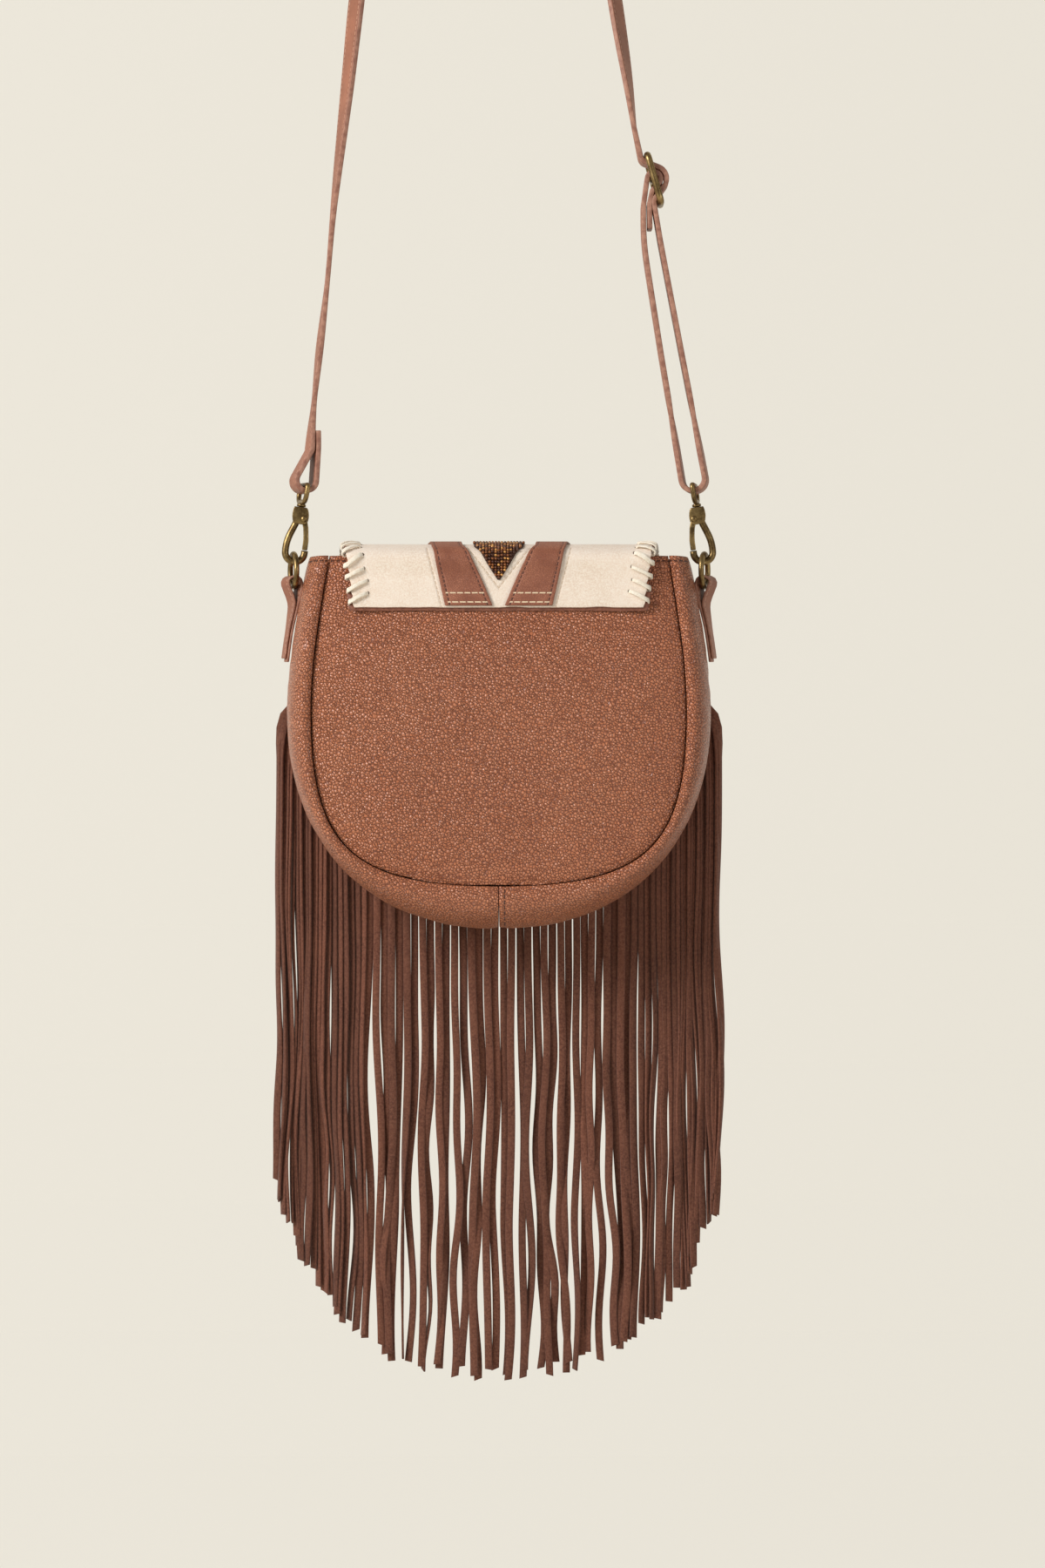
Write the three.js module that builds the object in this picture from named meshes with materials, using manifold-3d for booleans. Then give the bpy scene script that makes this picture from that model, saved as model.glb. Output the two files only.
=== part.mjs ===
// Fringe crossbody bag, seen hanging by its strap.
// Millimetres, +Z up. The bag's back faces -Y, +X is the wearer's side with the strap slide.
// The origin is the underside of the strap's top bend, where a shoulder or peg holds it.

import * as THREE from "three";
import { mergeVertices } from "three/addons/utils/BufferGeometryUtils.js";
import Module from "manifold-3d";

const wasm = await Module();
wasm.setup();

// Driving dimensions
const gap = 0.3; // running gap between pieces that touch
const leather = 1.8; // panel and gusset leather
const bagX = 8.5; // the bag hangs a little off the strap's centre
const bagTop = -600; // top edge of the bag's mouth
const mouthHalf = 109.5; // half width of the bag over its gussets, at the mouth
const bellyHalf = 121.5; // the same at the widest place
const bellyDrop = 90; // how far below the mouth the widest place lies
const bagDrop = 213.5; // height of the bag over its gusset
const panelMouthHalf = 96.5; // half width of the back and front panels at the mouth
const panelHalf = 106.5; // the same at the widest place
const panelDrop = 188; // height of the panels
const halfDepth = 30; // half depth of the bag at the gusset's edges
const mouthDepthShare = 0.72; // how far the mouth pulls in
const mouthFade = 70; // height over which it pulls in
const panelCrown = 3.5; // how far the panels swell past their seams
const seamAngle = THREE.MathUtils.degToRad(112); // where the gusset's swell ends at the seam
const liningThick = 0.8;
const liningInset = 5;

const flapThick = 1.8; // suede of the flap
const flapRearHalf = 83; // half width of the flap's sewn end
const flapFoldHalf = 88; // half width where it folds over the top
const flapTopFlare = 3; // how much it widens over the top
const flapHalf = 117.5; // half width at the upper end of the fringe
const flapFringeDrop = 82; // where the fringe starts, below the mouth
const flapDrop = 193.5; // lower edge of the flap
const flapSlack = 0.5; // the flap's sewn end lies this loosely on the back panel
const flapRearDrop = 30; // sewn end of the flap on the back
const flapCrest = 6.4; // how far the fold stands over the mouth
const flapStand = 39; // how far the flap's front stands from the bag's middle
const flapLiningThick = 1;
const hingeReach = -20; // the flap swings here, over the back's top edge
const flapLiningInset = 2.5; // the flap's lining stops short of its edge
const trimLift = 0.45; // thread's room under the bands and beads
const bandThick = 1.4; // brown leather bands on the flap
const bandDrop = 150; // lower end of the front bands
const laceStitches = 14; // whip stitches on each side of the flap's front
const beadHalf = 14.5; // half width of the beaded triangle
const beadTip = 1.5; // half width of its point
const beadBack = 0.9; // cloth that the beads are sewn on
const beadRise = 0.7;
const beadRows = 8;
const beadRearDrop = 13.5; // the triangle's point on the back
const beadFrontDrop = 40; // its point on the front

const stripWidth = 4;
const stripPitch = 4.7;
const stripThick = 1.3;
const stripLength = 280;
const stripLeast = 1.7; // least distance between strips that hang on edge
const stripLayer = 1.9; // distance between the two layers of the middle strips
const edgeOnFrom = THREE.MathUtils.degToRad(35); // edge slope from which the strips turn on edge
const edgeFlare = 3; // how far the side strips stand out before they droop
const rowLean = 1.8; // how far a row's outermost strip lies in front of its innermost
const rowShare = 0.12; // share of the sewn edge's height that one row of strips takes up
const headerHeight = 8;
const headerThick = 1.4;
const webHeight = 2.2; // uncut top of the strips below the flap's edge

const strapWidth = 15;
const strapThick = 3;
const wireHalf = 2; // slide and hook wire radius
const slideStep = 13.9; // distance between the slide's bars
const slideInner = 16.6; // clear width between the slide's sides
const slideCorner = 3.5;

const ringRadius = 9.4; // to the middle of the wire
const ringWire = 1.6;
const ringTurn = THREE.MathUtils.degToRad(14);
const ringStandOff = 8.5; // from the gusset's side to the middle of its ring
const ringSpread = mouthHalf + ringStandOff;
const ringPlay = 0.9; // play between the ring and the hook's lowest bar
const rodDrop = 2.5; // hook's lowest bar below the mouth
const hookTilt = THREE.MathUtils.degToRad(8);
const hookBend = 5.5; // bend radius of the hook's wire
const limbTop = 23;
const blockBottom = 22;
const blockTop = 31.6;
const blockOuter = -4.2;
const blockInner = 5;
const blockHalfDepth = 3.5;
const forkHalf = 2.3;
const forkTop = 29.4;
const gatePivot = new THREE.Vector2(2.8, 25);
const gateKnuckle = 1.9;
const pinRadius = 0.9;
const shankRadius = 1.2;
const headRadius = 1.9;
const eyeWire = 1.5;
const eyeInner = 16.2;
const eyeBottom = 34.6;
const eyeTop = 44.3;

const tabWidth = 11;
const tabThick = 1.5;
const tabDrop = 60; // lower end of the tabs below the mouth
const tabLoopHalf = 3.7; // clear half width of the loop, because the ring stands turned in it
const tabLoopRise = 4.8; // room over the ring's wire, because the wire curves up inside the tab

const snapRadius = 8;
const snapDrop = 118;
const socketThick = 2;
const studThick = 1.2;

// Colours
const colours = {
  panel: 0x98603f,
  gusset: 0x915a3c,
  lining: 0x9a6f5f,
  suede: 0xe2d3ba,
  band: 0x8a5238,
  beads: 0x9a6238,
  lace: 0xe8dcc6,
  fringe: 0x5c3527,
  strap: 0xa06a50,
  brass: 0x8c7446,
};

function finish(colour, roughness = 0.7, metalness = 0) {
  return new THREE.MeshStandardMaterial({ color: colour, roughness, metalness });
}

// Closed bodies from rings of points

function geometryOf(positions, triangles) {
  const geometry = new THREE.BufferGeometry();
  geometry.setAttribute("position", new THREE.Float32BufferAttribute(positions, 3));
  geometry.setIndex(signedVolume(positions, triangles) < 0 ? flipped(triangles) : triangles);
  return geometry;
}

function signedVolume(positions, triangles) {
  let sum = 0;
  const a = new THREE.Vector3();
  const b = new THREE.Vector3();
  const c = new THREE.Vector3();
  for (let i = 0; i < triangles.length; i += 3) {
    a.fromArray(positions, triangles[i] * 3);
    b.fromArray(positions, triangles[i + 1] * 3);
    c.fromArray(positions, triangles[i + 2] * 3);
    sum += a.dot(b.cross(c));
  }
  return sum;
}

function flipped(triangles) {
  const turned = [];
  for (let i = 0; i < triangles.length; i += 3) {
    turned.push(triangles[i], triangles[i + 2], triangles[i + 1]);
  }
  return turned;
}

// Joins rings of equal, even length. A ring's first half lies over its second half, run backwards.
function loft(rings, closed = false) {
  const positions = [];
  const triangles = [];
  const count = rings[0].length;
  for (const ring of rings) {
    for (const p of ring) positions.push(p.x, p.y, p.z);
  }
  const spans = closed ? rings.length : rings.length - 1;
  for (let i = 0; i < spans; i += 1) {
    const here = i * count;
    const next = ((i + 1) % rings.length) * count;
    for (let j = 0; j < count; j += 1) {
      const k = (j + 1) % count;
      triangles.push(here + j, here + k, next + k, here + j, next + k, next + j);
    }
  }
  if (!closed) {
    const last = (rings.length - 1) * count;
    for (let j = 0; j < count / 2 - 1; j += 1) {
      const far = count - 1 - j;
      triangles.push(j, far, far - 1, j, far - 1, j + 1);
      triangles.push(last + j, last + far - 1, last + far, last + j, last + j + 1, last + far - 1);
    }
  }
  return geometryOf(positions, triangles);
}

// A sheet body between two grids of points with the same rows and columns.
function sheetBody(outer, inner) {
  return loft(outer.map((row, i) => [...row, ...[...inner[i]].reverse()]));
}

function rectangle(width, thick) {
  const w = width / 2;
  const t = thick / 2;
  return [new THREE.Vector2(-w, t), new THREE.Vector2(w, t), new THREE.Vector2(w, -t), new THREE.Vector2(-w, -t)];
}

function round(radius, sides = 8) {
  const points = [];
  for (let i = 0; i < sides; i += 1) {
    const angle = ((i + 0.5) / sides) * Math.PI * 2;
    points.push(new THREE.Vector2(-Math.cos(angle) * radius, Math.sin(angle) * radius));
  }
  return points;
}

// Runs a section along points. across gives the section's width direction at each point.
function sweep(points, across, section, closed = false) {
  const n = points.length;
  const rings = points.map((p, i) => {
    const before = points[closed ? (i + n - 1) % n : Math.max(i - 1, 0)];
    const after = points[closed ? (i + 1) % n : Math.min(i + 1, n - 1)];
    const along = after.clone().sub(before).normalize();
    const wide = across(i, along).clone();
    wide.addScaledVector(along, -wide.dot(along)).normalize();
    const up = along.clone().cross(wide);
    return section.map((s) => p.clone().addScaledVector(wide, s.x).addScaledVector(up, s.y));
  });
  return loft(rings, closed);
}

// Joins and cuts
function solidOf(geometry) {
  const bare = geometry.clone();
  bare.deleteAttribute("normal");
  bare.deleteAttribute("uv");
  const merged = mergeVertices(bare, 1e-4);
  const mesh = new wasm.Mesh({
    numProp: 3,
    vertProperties: new Float32Array(merged.attributes.position.array),
    triVerts: new Uint32Array(merged.index.array),
  });
  return new wasm.Manifold(mesh);
}

function geometryFrom(solid) {
  const mesh = solid.getMesh();
  return geometryOf(Array.from(mesh.vertProperties), Array.from(mesh.triVerts));
}

function joined(geometries) {
  return geometryFrom(geometries.map(solidOf).reduce((sum, solid) => sum.add(solid)));
}

function cut(geometry, cutters) {
  return geometryFrom(cutters.map(solidOf).reduce((left, solid) => left.subtract(solid), solidOf(geometry)));
}

function block(x0, x1, y0, y1, z0, z1) {
  return new THREE.BoxGeometry(x1 - x0, y1 - y0, z1 - z0).translate((x0 + x1) / 2, (y0 + y1) / 2, (z0 + z1) / 2);
}

function crossPin(radius, halfLength, x, z, sides = 10) {
  return new THREE.CylinderGeometry(radius, radius, halfLength * 2, sides).translate(x, 0, z);
}

function postUp(radius, z0, z1, sides = 10) {
  return new THREE.CylinderGeometry(radius, radius, z1 - z0, sides)
    .rotateX(Math.PI / 2)
    .translate(0, 0, (z0 + z1) / 2);
}

// The bag's outline, right half, measured from the bag's middle at the mouth

function halfOutline(mouth, belly, drop, bottom, roundness) {
  const side = new THREE.CubicBezierCurve(
    new THREE.Vector2(mouth, 0),
    new THREE.Vector2(mouth + (belly - mouth) * 0.5, -drop * 0.36),
    new THREE.Vector2(belly, -drop * 0.67),
    new THREE.Vector2(belly, -drop),
  );
  const below = new THREE.CubicBezierCurve(
    new THREE.Vector2(belly, -drop),
    new THREE.Vector2(belly, -drop - roundness * (bottom - drop)),
    new THREE.Vector2(roundness * belly, -bottom),
    new THREE.Vector2(0, -bottom),
  );
  return (s) => (s < 1 ? side.getPoint(s) : below.getPoint(s - 1));
}

const silhouette = halfOutline(mouthHalf, bellyHalf, bellyDrop, bagDrop, 0.61);
const panelSeam = halfOutline(panelMouthHalf, panelHalf, bellyDrop, panelDrop, 0.78);

function depthAt(z) {
  const t = THREE.MathUtils.clamp(-z / mouthFade, 0, 1);
  const ease = t * t * (3 - 2 * t);
  return halfDepth * (mouthDepthShare + (1 - mouthDepthShare) * ease);
}

function seamDepth(z) {
  return depthAt(z) * Math.sin(seamAngle);
}

function range(from, to, steps) {
  return Array.from({ length: steps + 1 }, (_, i) => from + ((to - from) * i) / steps);
}

// Gusset half: a swelling band between the two panels, from the mouth to the bottom centre seam
function gussetGeometry(side) {
  const stations = [...range(0, 1, 5), ...range(1, 2, 12).slice(1)];
  const angles = range(-seamAngle, seamAngle, 10);
  const outer = [];
  const inner = [];
  for (const s of stations) {
    const seam = panelSeam(s);
    const crown = silhouette(s);
    const out = crown.clone().sub(seam);
    const swell = out.length();
    out.normalize();
    const depth = depthAt(seam.y);
    const spread = swell / (1 - Math.cos(seamAngle));
    const outerRow = [];
    const innerRow = [];
    for (const angle of angles) {
      const off = spread * (Math.cos(angle) - Math.cos(seamAngle));
      const y = depth * Math.sin(angle);
      const normal = new THREE.Vector2(depth * Math.cos(angle), spread * Math.sin(angle)).normalize();
      const at = (o, across) => {
        const x = Math.max(seam.x + out.x * o, 0) + gap / 2;
        return new THREE.Vector3(side * x, across, seam.y + out.y * o);
      };
      outerRow.push(at(off, y));
      innerRow.push(at(off - normal.x * leather, y - normal.y * leather));
    }
    outer.push(outerRow);
    inner.push(innerRow);
  }
  return sheetBody(outer, inner);
}

// How far a panel's outer face stands from the bag's middle
function panelFace(across, z) {
  const low = THREE.MathUtils.clamp((-z - 50) / (panelDrop - 50), 0, 1);
  return seamDepth(z) + panelCrown * (1 - across ** 4) * (1 - low ** 5);
}

const panelEnd = 1.93; // the panel's outline stops here and closes with a short straight edge

function panelGeometry(side) {
  const stations = [...range(0, 1, 4), ...range(1, panelEnd, 7).slice(1)];
  const columns = range(-1, 1, 10);
  const outer = [];
  const inner = [];
  for (const s of stations) {
    const seam = panelSeam(s);
    const half = seam.x - gap;
    const z = seam.y + (s > 1.5 ? gap : 0);
    outer.push(columns.map((u) => new THREE.Vector3(u * half, side * panelFace(u, z), z)));
    inner.push(columns.map((u) => new THREE.Vector3(u * half, side * (panelFace(u, z) - leather), z)));
  }
  return sheetBody(outer, inner);
}

// Lining: a thin sack inside the panels, hemmed to them at the mouth
function liningRing(half, depth, z, count) {
  return Array.from({ length: count }, (_, i) => {
    const angle = ((i + 0.5) / count) * Math.PI * 2;
    const c = Math.cos(angle);
    const s = Math.sin(angle);
    return new THREE.Vector3(half * Math.sign(c) * Math.abs(c) ** 0.5, depth * Math.sign(s) * Math.abs(s) ** 0.5, z);
  });
}

function sackGeometry(inset, topZ) {
  const rings = [];
  const bottom = panelDrop - liningInset - inset;
  for (const t of range(0, 1, 6)) {
    const z = topZ - t * (bottom + topZ);
    const close = Math.sqrt(1 - Math.max(t - 0.8, 0) / 0.2 * 0.8);
    const half = halfWidthAt(z, panelSeam) - liningInset - inset;
    const hug = leather + gap + inset + liningInset * 0.8 * Math.min(t * 2.5, 1);
    rings.push(liningRing(half, (panelFace(0, z) - hug) * close, z, 16));
  }
  return loft(rings);
}

function halfWidthAt(z, outline) {
  let low = 0;
  let high = 2;
  for (let i = 0; i < 30; i += 1) {
    const middle = (low + high) / 2;
    if (outline(middle).y > z) low = middle;
    else high = middle;
  }
  return outline(low).x;
}

function liningGeometry() {
  return cut(sackGeometry(0, -1), [sackGeometry(liningThick, 1)]);
}

// The flap's side view: from its sewn end on the back, over the top and down the front
const flapProfile = new THREE.CatmullRomCurve3([
  new THREE.Vector3(0, -panelFace(0, -flapRearDrop) - gap - flapSlack - flapThick / 2, -flapRearDrop),
  new THREE.Vector3(0, -panelFace(0, -12) - gap - flapSlack - flapThick / 2, -12),
  new THREE.Vector3(0, -panelFace(0, 0) - gap - flapSlack - flapThick / 2 - 0.6, 0),
  new THREE.Vector3(0, -14, flapCrest - 0.8),
  new THREE.Vector3(0, 0, flapCrest),
  new THREE.Vector3(0, 14, flapCrest - 0.9),
  new THREE.Vector3(0, 26, 1),
  new THREE.Vector3(0, flapStand - 5, -13),
  new THREE.Vector3(0, flapStand - 1, -35),
  new THREE.Vector3(0, flapStand, -60),
  new THREE.Vector3(0, flapStand, -flapDrop - 1),
], false, "centripetal");
flapProfile.arcLengthDivisions = 1200;
const profileSamples = range(0, 1, 1200).map((t) => flapProfile.getPointAt(t));

function profileWhere(test) {
  return profileSamples.findIndex(test) / (profileSamples.length - 1);
}

const hingeShare = profileWhere((p) => p.y > hingeReach);
const hingePoint = flapProfile.getPointAt(hingeShare);
const profileLength = flapProfile.getLength();

// A point on the flap: x across, share along the profile, lift towards its outer side
function onFlap(x, share, lift) {
  const at = THREE.MathUtils.clamp(share, 0, 1);
  const p = flapProfile.getPointAt(at);
  const t = flapProfile.getTangentAt(at);
  return new THREE.Vector3(x, p.y - t.z * lift, p.z + t.y * lift);
}

// Half of the flap's front edge: down its side, then round the fringe's U
const flapSide = new THREE.CubicBezierCurve(
  new THREE.Vector2(flapFoldHalf + flapTopFlare, 0),
  new THREE.Vector2(flapFoldHalf + flapTopFlare + 2, -flapFringeDrop * 0.4),
  new THREE.Vector2(flapHalf, -flapFringeDrop * 0.72),
  new THREE.Vector2(flapHalf, -flapFringeDrop),
);
const flapBow = new THREE.CubicBezierCurve(
  new THREE.Vector2(0, -flapDrop),
  new THREE.Vector2(flapHalf * 0.62, -flapDrop),
  new THREE.Vector2(flapHalf, -flapFringeDrop - (flapDrop - flapFringeDrop) * 0.62),
  new THREE.Vector2(flapHalf, -flapFringeDrop),
);
flapBow.arcLengthDivisions = 400;
const stripsPerSide = Math.floor(flapBow.getLength() / stripPitch);

function shareAtDrop(drop) {
  return profileWhere((p) => p.y > hingeReach && p.z < -drop);
}

// Rows of the flap's front: half width and place along the profile
function flapFrontRows() {
  const rows = [];
  const start = hingeShare;
  const topShare = shareAtDrop(0.01);
  for (const t of range(0, 1, 8).slice(0, 8)) {
    const share = start + (topShare - start) * t;
    rows.push({ half: flapFoldHalf + flapTopFlare * t, share });
  }
  for (const t of range(0, 1, 7)) {
    const p = flapSide.getPoint(t);
    rows.push({ half: p.x, share: shareAtDrop(Math.max(-p.y, 0.01)) });
  }
  for (const t of range(1, 0.08, 11).slice(1)) {
    const p = flapBow.getPoint(t);
    rows.push({ half: p.x, share: shareAtDrop(-p.y) });
  }
  return rows;
}

function flapRearRows() {
  const end = hingeShare - (flapThick / 2 + gap) / profileLength;
  return range(0, end, 5).map((share) => {
    const half = flapRearHalf + ((flapFoldHalf - flapRearHalf) * share) / hingeShare;
    return { half, share };
  });
}

function flapSheet(rows, thick, lift, inset = 0, columnCount = 6) {
  const columns = range(-1, 1, columnCount);
  const place = (row, u, side) => onFlap(u * (row.half - inset), row.share, lift + (side * thick) / 2);
  return sheetBody(
    rows.map((row) => columns.map((u) => place(row, u, 1))),
    rows.map((row) => columns.map((u) => place(row, u, -1))),
  );
}

const headerLift = -(flapThick / 2 + gap + headerThick / 2);
const liningLift = -(flapThick / 2 + 2 * gap + headerThick + flapLiningThick / 2);

// A trim on the flap, from one share of the profile to another. Its edges bend through three widths.
// Its steps lie closer at the start when crowd is over 1, for trims that start on the fold.
function trimGeometry({ from, to, left, right, steps, thick, columns = 1, ridge = 0, crowd = 1 }) {
  const base = flapThick / 2 + trimLift;
  const us = range(0, 1, columns);
  const row = (t, top) => us.map((u, j) => {
    const x = bent(left, t) * (1 - u) + bent(right, t) * u;
    const rise = j % 2 === 1 ? ridge : 0;
    return onFlap(x, from + (to - from) * t, base + (top ? thick + rise : 0));
  });
  const ts = range(0, 1, steps).map((t) => t ** crowd);
  return sheetBody(ts.map((t) => row(t, true)), ts.map((t) => row(t, false)));
}

function bent([start, middle, end], t) {
  return start * (1 - t) * (1 - 2 * t) + middle * 4 * t * (1 - t) + end * t * (2 * t - 1);
}

const trimKeep = 4.5 / profileLength; // the trims stay this far from the swing line
const trimStart = 1 / profileLength;

function bandRearGeometry(side) {
  const left = [3.5, 11.5, 20].map((x) => side * x);
  const right = [30.5, 35, 38].map((x) => side * x);
  return trimGeometry({ from: trimStart, to: hingeShare - trimKeep, left, right, steps: 7, thick: bandThick });
}

function bandFrontGeometry(side) {
  const left = [21.5, 28, 44].map((x) => side * x);
  const right = [38.5, 48, 49].map((x) => side * x);
  const to = shareAtDrop(bandDrop);
  return trimGeometry({ from: hingeShare + trimKeep, to, left, right, steps: 20, thick: bandThick, crowd: 1.4 });
}

// Beaded points: a triangle of bead rows, narrow end down, on the back and on the front
function beadGeometry(from, to, halves, steps) {
  const left = halves.map((x) => -x);
  return trimGeometry({ from, to, left, right: halves, steps, thick: beadBack, columns: beadRows, ridge: beadRise });
}

// Whip-stitched lace: a cord beside the edge with slanting stitches laid over the suede
function laceGeometry(side, rows, stitches) {
  const lift = flapThick / 2 + gap + 0.95;
  const cordAt = (row) => onFlap(side * (row.half + gap + 1.5), row.share, 0);
  const cord = sweep(rows.map(cordAt), () => new THREE.Vector3(1, 0, 0), round(1, 4));
  const first = rows[0].share;
  const last = rows[rows.length - 1].share;
  const slant = 1.6 / profileLength;
  const pieces = [cord];
  for (let i = 0; i < stitches; i += 1) {
    const share = first + ((last - first) * (i + 0.5)) / stitches;
    const half = halfAt(rows, share);
    const points = [
      onFlap(side * (half + gap + 1.6), share + slant, -0.2),
      onFlap(side * (half + gap + 1.4), share + slant, lift),
      onFlap(side * (half - 5), share - slant, lift),
    ];
    const run = flapProfile.getTangentAt(share);
    pieces.push(sweep(points, () => run, rectangle(2, 1.1)));
  }
  return joined(pieces);
}

function halfAt(rows, share) {
  for (let i = 0; i < rows.length - 1; i += 1) {
    const a = rows[i];
    const b = rows[i + 1];
    if (share >= a.share && share <= b.share) {
      return a.half + ((b.half - a.half) * (share - a.share)) / Math.max(b.share - a.share, 1e-9);
    }
  }
  return rows[rows.length - 1].half;
}

// Fringe: strips cut from one band, sewn between the flap and its lining along the U

function stripsOfSide() {
  const strips = [];
  const total = flapBow.getLength();
  let hang = stripPitch / 2;
  for (let i = 0; i < stripsPerSide; i += 1) {
    const run = (i + 0.5) * stripPitch;
    const t = run / total;
    const root = flapBow.getPointAt(t);
    const tangent = flapBow.getTangentAt(t);
    const slope = Math.atan2(tangent.y, tangent.x);
    if (i > 0) {
      const before = flapBow.getTangentAt((run - stripPitch / 2) / total);
      const step = stripPitch * before.x;
      hang += slope > edgeOnFrom ? Math.max(step, stripLeast / Math.sin(slope)) : step;
    }
    strips.push({ i, root, slope, hang: hang + edgeFlare * Math.sin(slope) });
  }
  return strips;
}

const sideStrips = stripsOfSide();
const fringeY = flapStand + headerLift;

// Steep rows lean: each row's outer strips lie a little in front, clear of the next row
function rowsOfStrips(strips) {
  const rows = [[]];
  const rowRise = (strips[strips.length - 1].root.y - strips[0].root.y) * rowShare;
  for (const strip of strips) {
    const row = rows[rows.length - 1];
    const rise = row.length ? strip.root.y - row[0].root.y : 0;
    const middle = strip.slope < edgeOnFrom;
    const pairDone = !middle || strip.i % 2 === 1;
    if (row.length && rise > rowRise && pairDone) rows.push([strip]);
    else row.push(strip);
  }
  for (const row of rows) {
    row.forEach((strip, j) => {
      strip.lean = strip.slope < edgeOnFrom ? 0 : rowLean * (j / Math.max(row.length - 1, 1) - 0.5);
    });
  }
  return rows;
}

const fringeRows = rowsOfStrips(sideStrips);

function stripGeometry(strip, side) {
  const y = fringeY;
  const flat = strip.slope < edgeOnFrom;
  const evenLayer = strip.i % 2 === 0 ? stripLayer / 2 : -stripLayer / 2;
  const layer = flat ? evenLayer : strip.lean;
  const { root, hang } = strip;
  const outX = Math.sin(strip.slope);
  const outZ = -Math.cos(strip.slope);
  const away = (distance, dy) => new THREE.Vector3(root.x + outX * distance, y + dy, root.y + outZ * distance);
  const webMiddle = gap + webHeight / 2;
  const webEnd = gap + webHeight;
  const reach = Math.max((hang - root.x) / Math.max(outX, 0.05) - webEnd, 0) * outX;
  const bend = 12 + 14 * outX;
  const bendStart = away(webEnd, layer * 0.7);
  const curve = new THREE.CubicBezierCurve3(
    bendStart,
    away(webEnd + reach * 0.6 + 1, layer),
    new THREE.Vector3(hang, y + layer, bendStart.z - bend * 0.4),
    new THREE.Vector3(hang, y + layer, bendStart.z - bend),
  );
  const bendSteps = flat ? 1 : 3;
  const end = new THREE.Vector3(hang, y + layer, root.y - stripLength);
  const points = [away(webMiddle, 0), ...curve.getPoints(bendSteps), end];
  const flatAcross = new THREE.Vector3(Math.cos(strip.slope), 0, Math.sin(strip.slope));
  const turn = flat ? 0 : strip.slope;
  const hungAcross = new THREE.Vector3(Math.cos(turn), Math.sin(turn), 0);
  const across = (i) => {
    const t = THREE.MathUtils.clamp((i - 1) / bendSteps, 0, 1);
    return flatAcross.clone().lerp(hungAcross, t).normalize();
  };
  const body = sweep(points, across, rectangle(stripWidth, stripThick));
  return side > 0 ? body : mirrored(body);
}

function mirrored(geometry) {
  const positions = Array.from(geometry.attributes.position.array);
  for (let i = 0; i < positions.length; i += 3) positions[i] = -positions[i];
  return geometryOf(positions, Array.from(geometry.index.array));
}

// A band in the fringe's plane along the sewn edge. Runs are negative on the left side.
function edgeBand(fromRun, toRun, near, far) {
  const total = flapBow.getLength();
  const steps = Math.max(2, Math.round((toRun - fromRun) / 13));
  const rows = range(fromRun, toRun, steps).map((run) => {
    const side = run < 0 ? -1 : 1;
    const t = Math.abs(run) / total;
    const p = flapBow.getPointAt(t);
    const tangent = flapBow.getTangentAt(t);
    const at = (out, y) => new THREE.Vector3(side * (p.x + tangent.y * out), y, p.y - tangent.x * out);
    return { front: [near, far].map((out) => at(out, fringeY + headerThick / 2)),
      back: [near, far].map((out) => at(out, fringeY - headerThick / 2)) };
  });
  return sheetBody(rows.map((row) => row.front), rows.map((row) => row.back));
}

function fringeBandGeometry() {
  const end = stripsPerSide * stripPitch;
  return edgeBand(-end, end, -headerHeight, 0);
}

function rowRuns(row) {
  return [row[0].i * stripPitch + gap, (row[row.length - 1].i + 1) * stripPitch - gap];
}

function fringeGeometry(row, side) {
  const [from, to] = rowRuns(row);
  const web = side > 0 ? edgeBand(from, to, gap, gap + webHeight) : edgeBand(-to, -from, gap, gap + webHeight);
  return joined([web, ...row.map((strip) => stripGeometry(strip, side))]);
}

function middleFringeGeometry(row) {
  const to = rowRuns(row)[1];
  const strips = [1, -1].flatMap((side) => row.map((strip) => stripGeometry(strip, side)));
  return joined([edgeBand(-to, to, gap, gap + webHeight), ...strips]);
}

// Side tabs: a strip folded round the ring's lower wire and sewn flat on the gusset

function tabGeometry(ringCentreZ) {
  const wireZ = ringCentreZ - ringRadius;
  const innerAt = (drop) => halfWidthAt(-drop, silhouette) + gap + tabThick / 2 + 0.4;
  const loop = tabLoopHalf + tabThick / 2;
  const points = [];
  for (const drop of range(tabDrop, -wireZ + 6, 4)) {
    points.push(new THREE.Vector3(innerAt(drop), 0, -drop));
  }
  const topZ = wireZ + tabLoopRise - tabLoopHalf;
  for (const angle of range(Math.PI, 0, 6)) {
    points.push(new THREE.Vector3(ringSpread + loop * Math.cos(angle), 0, topZ + loop * Math.sin(angle)));
  }
  for (const drop of range(-wireZ + 6, tabDrop - 1.5, 4)) {
    points.push(new THREE.Vector3(innerAt(drop) + tabThick + gap, 0, -drop));
  }
  return sweep(points, () => new THREE.Vector3(0, 1, 0), rectangle(tabWidth, tabThick));
}

// Snap hook, in its own frame: the lowest bar's middle at the origin, +X towards the bag

function hookWire() {
  const path = new THREE.Path();
  path.moveTo(-1.4, limbTop);
  path.bezierCurveTo(-3, limbTop - 5, -hookBend - 0.6, 13, -hookBend, hookBend);
  path.absarc(0, hookBend, hookBend, Math.PI, 2 * Math.PI, false);
  path.lineTo(hookBend, hookBend + 1.6);
  const flat = path.getPoints(6);
  const points = flat.filter((p, i) => i === 0 || p.distanceTo(flat[i - 1]) > 0.05);
  const placed = points.map((p) => new THREE.Vector3(p.x, 0, p.y));
  return sweep(placed, () => new THREE.Vector3(0, 1, 0), round(wireHalf, 6));
}

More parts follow.
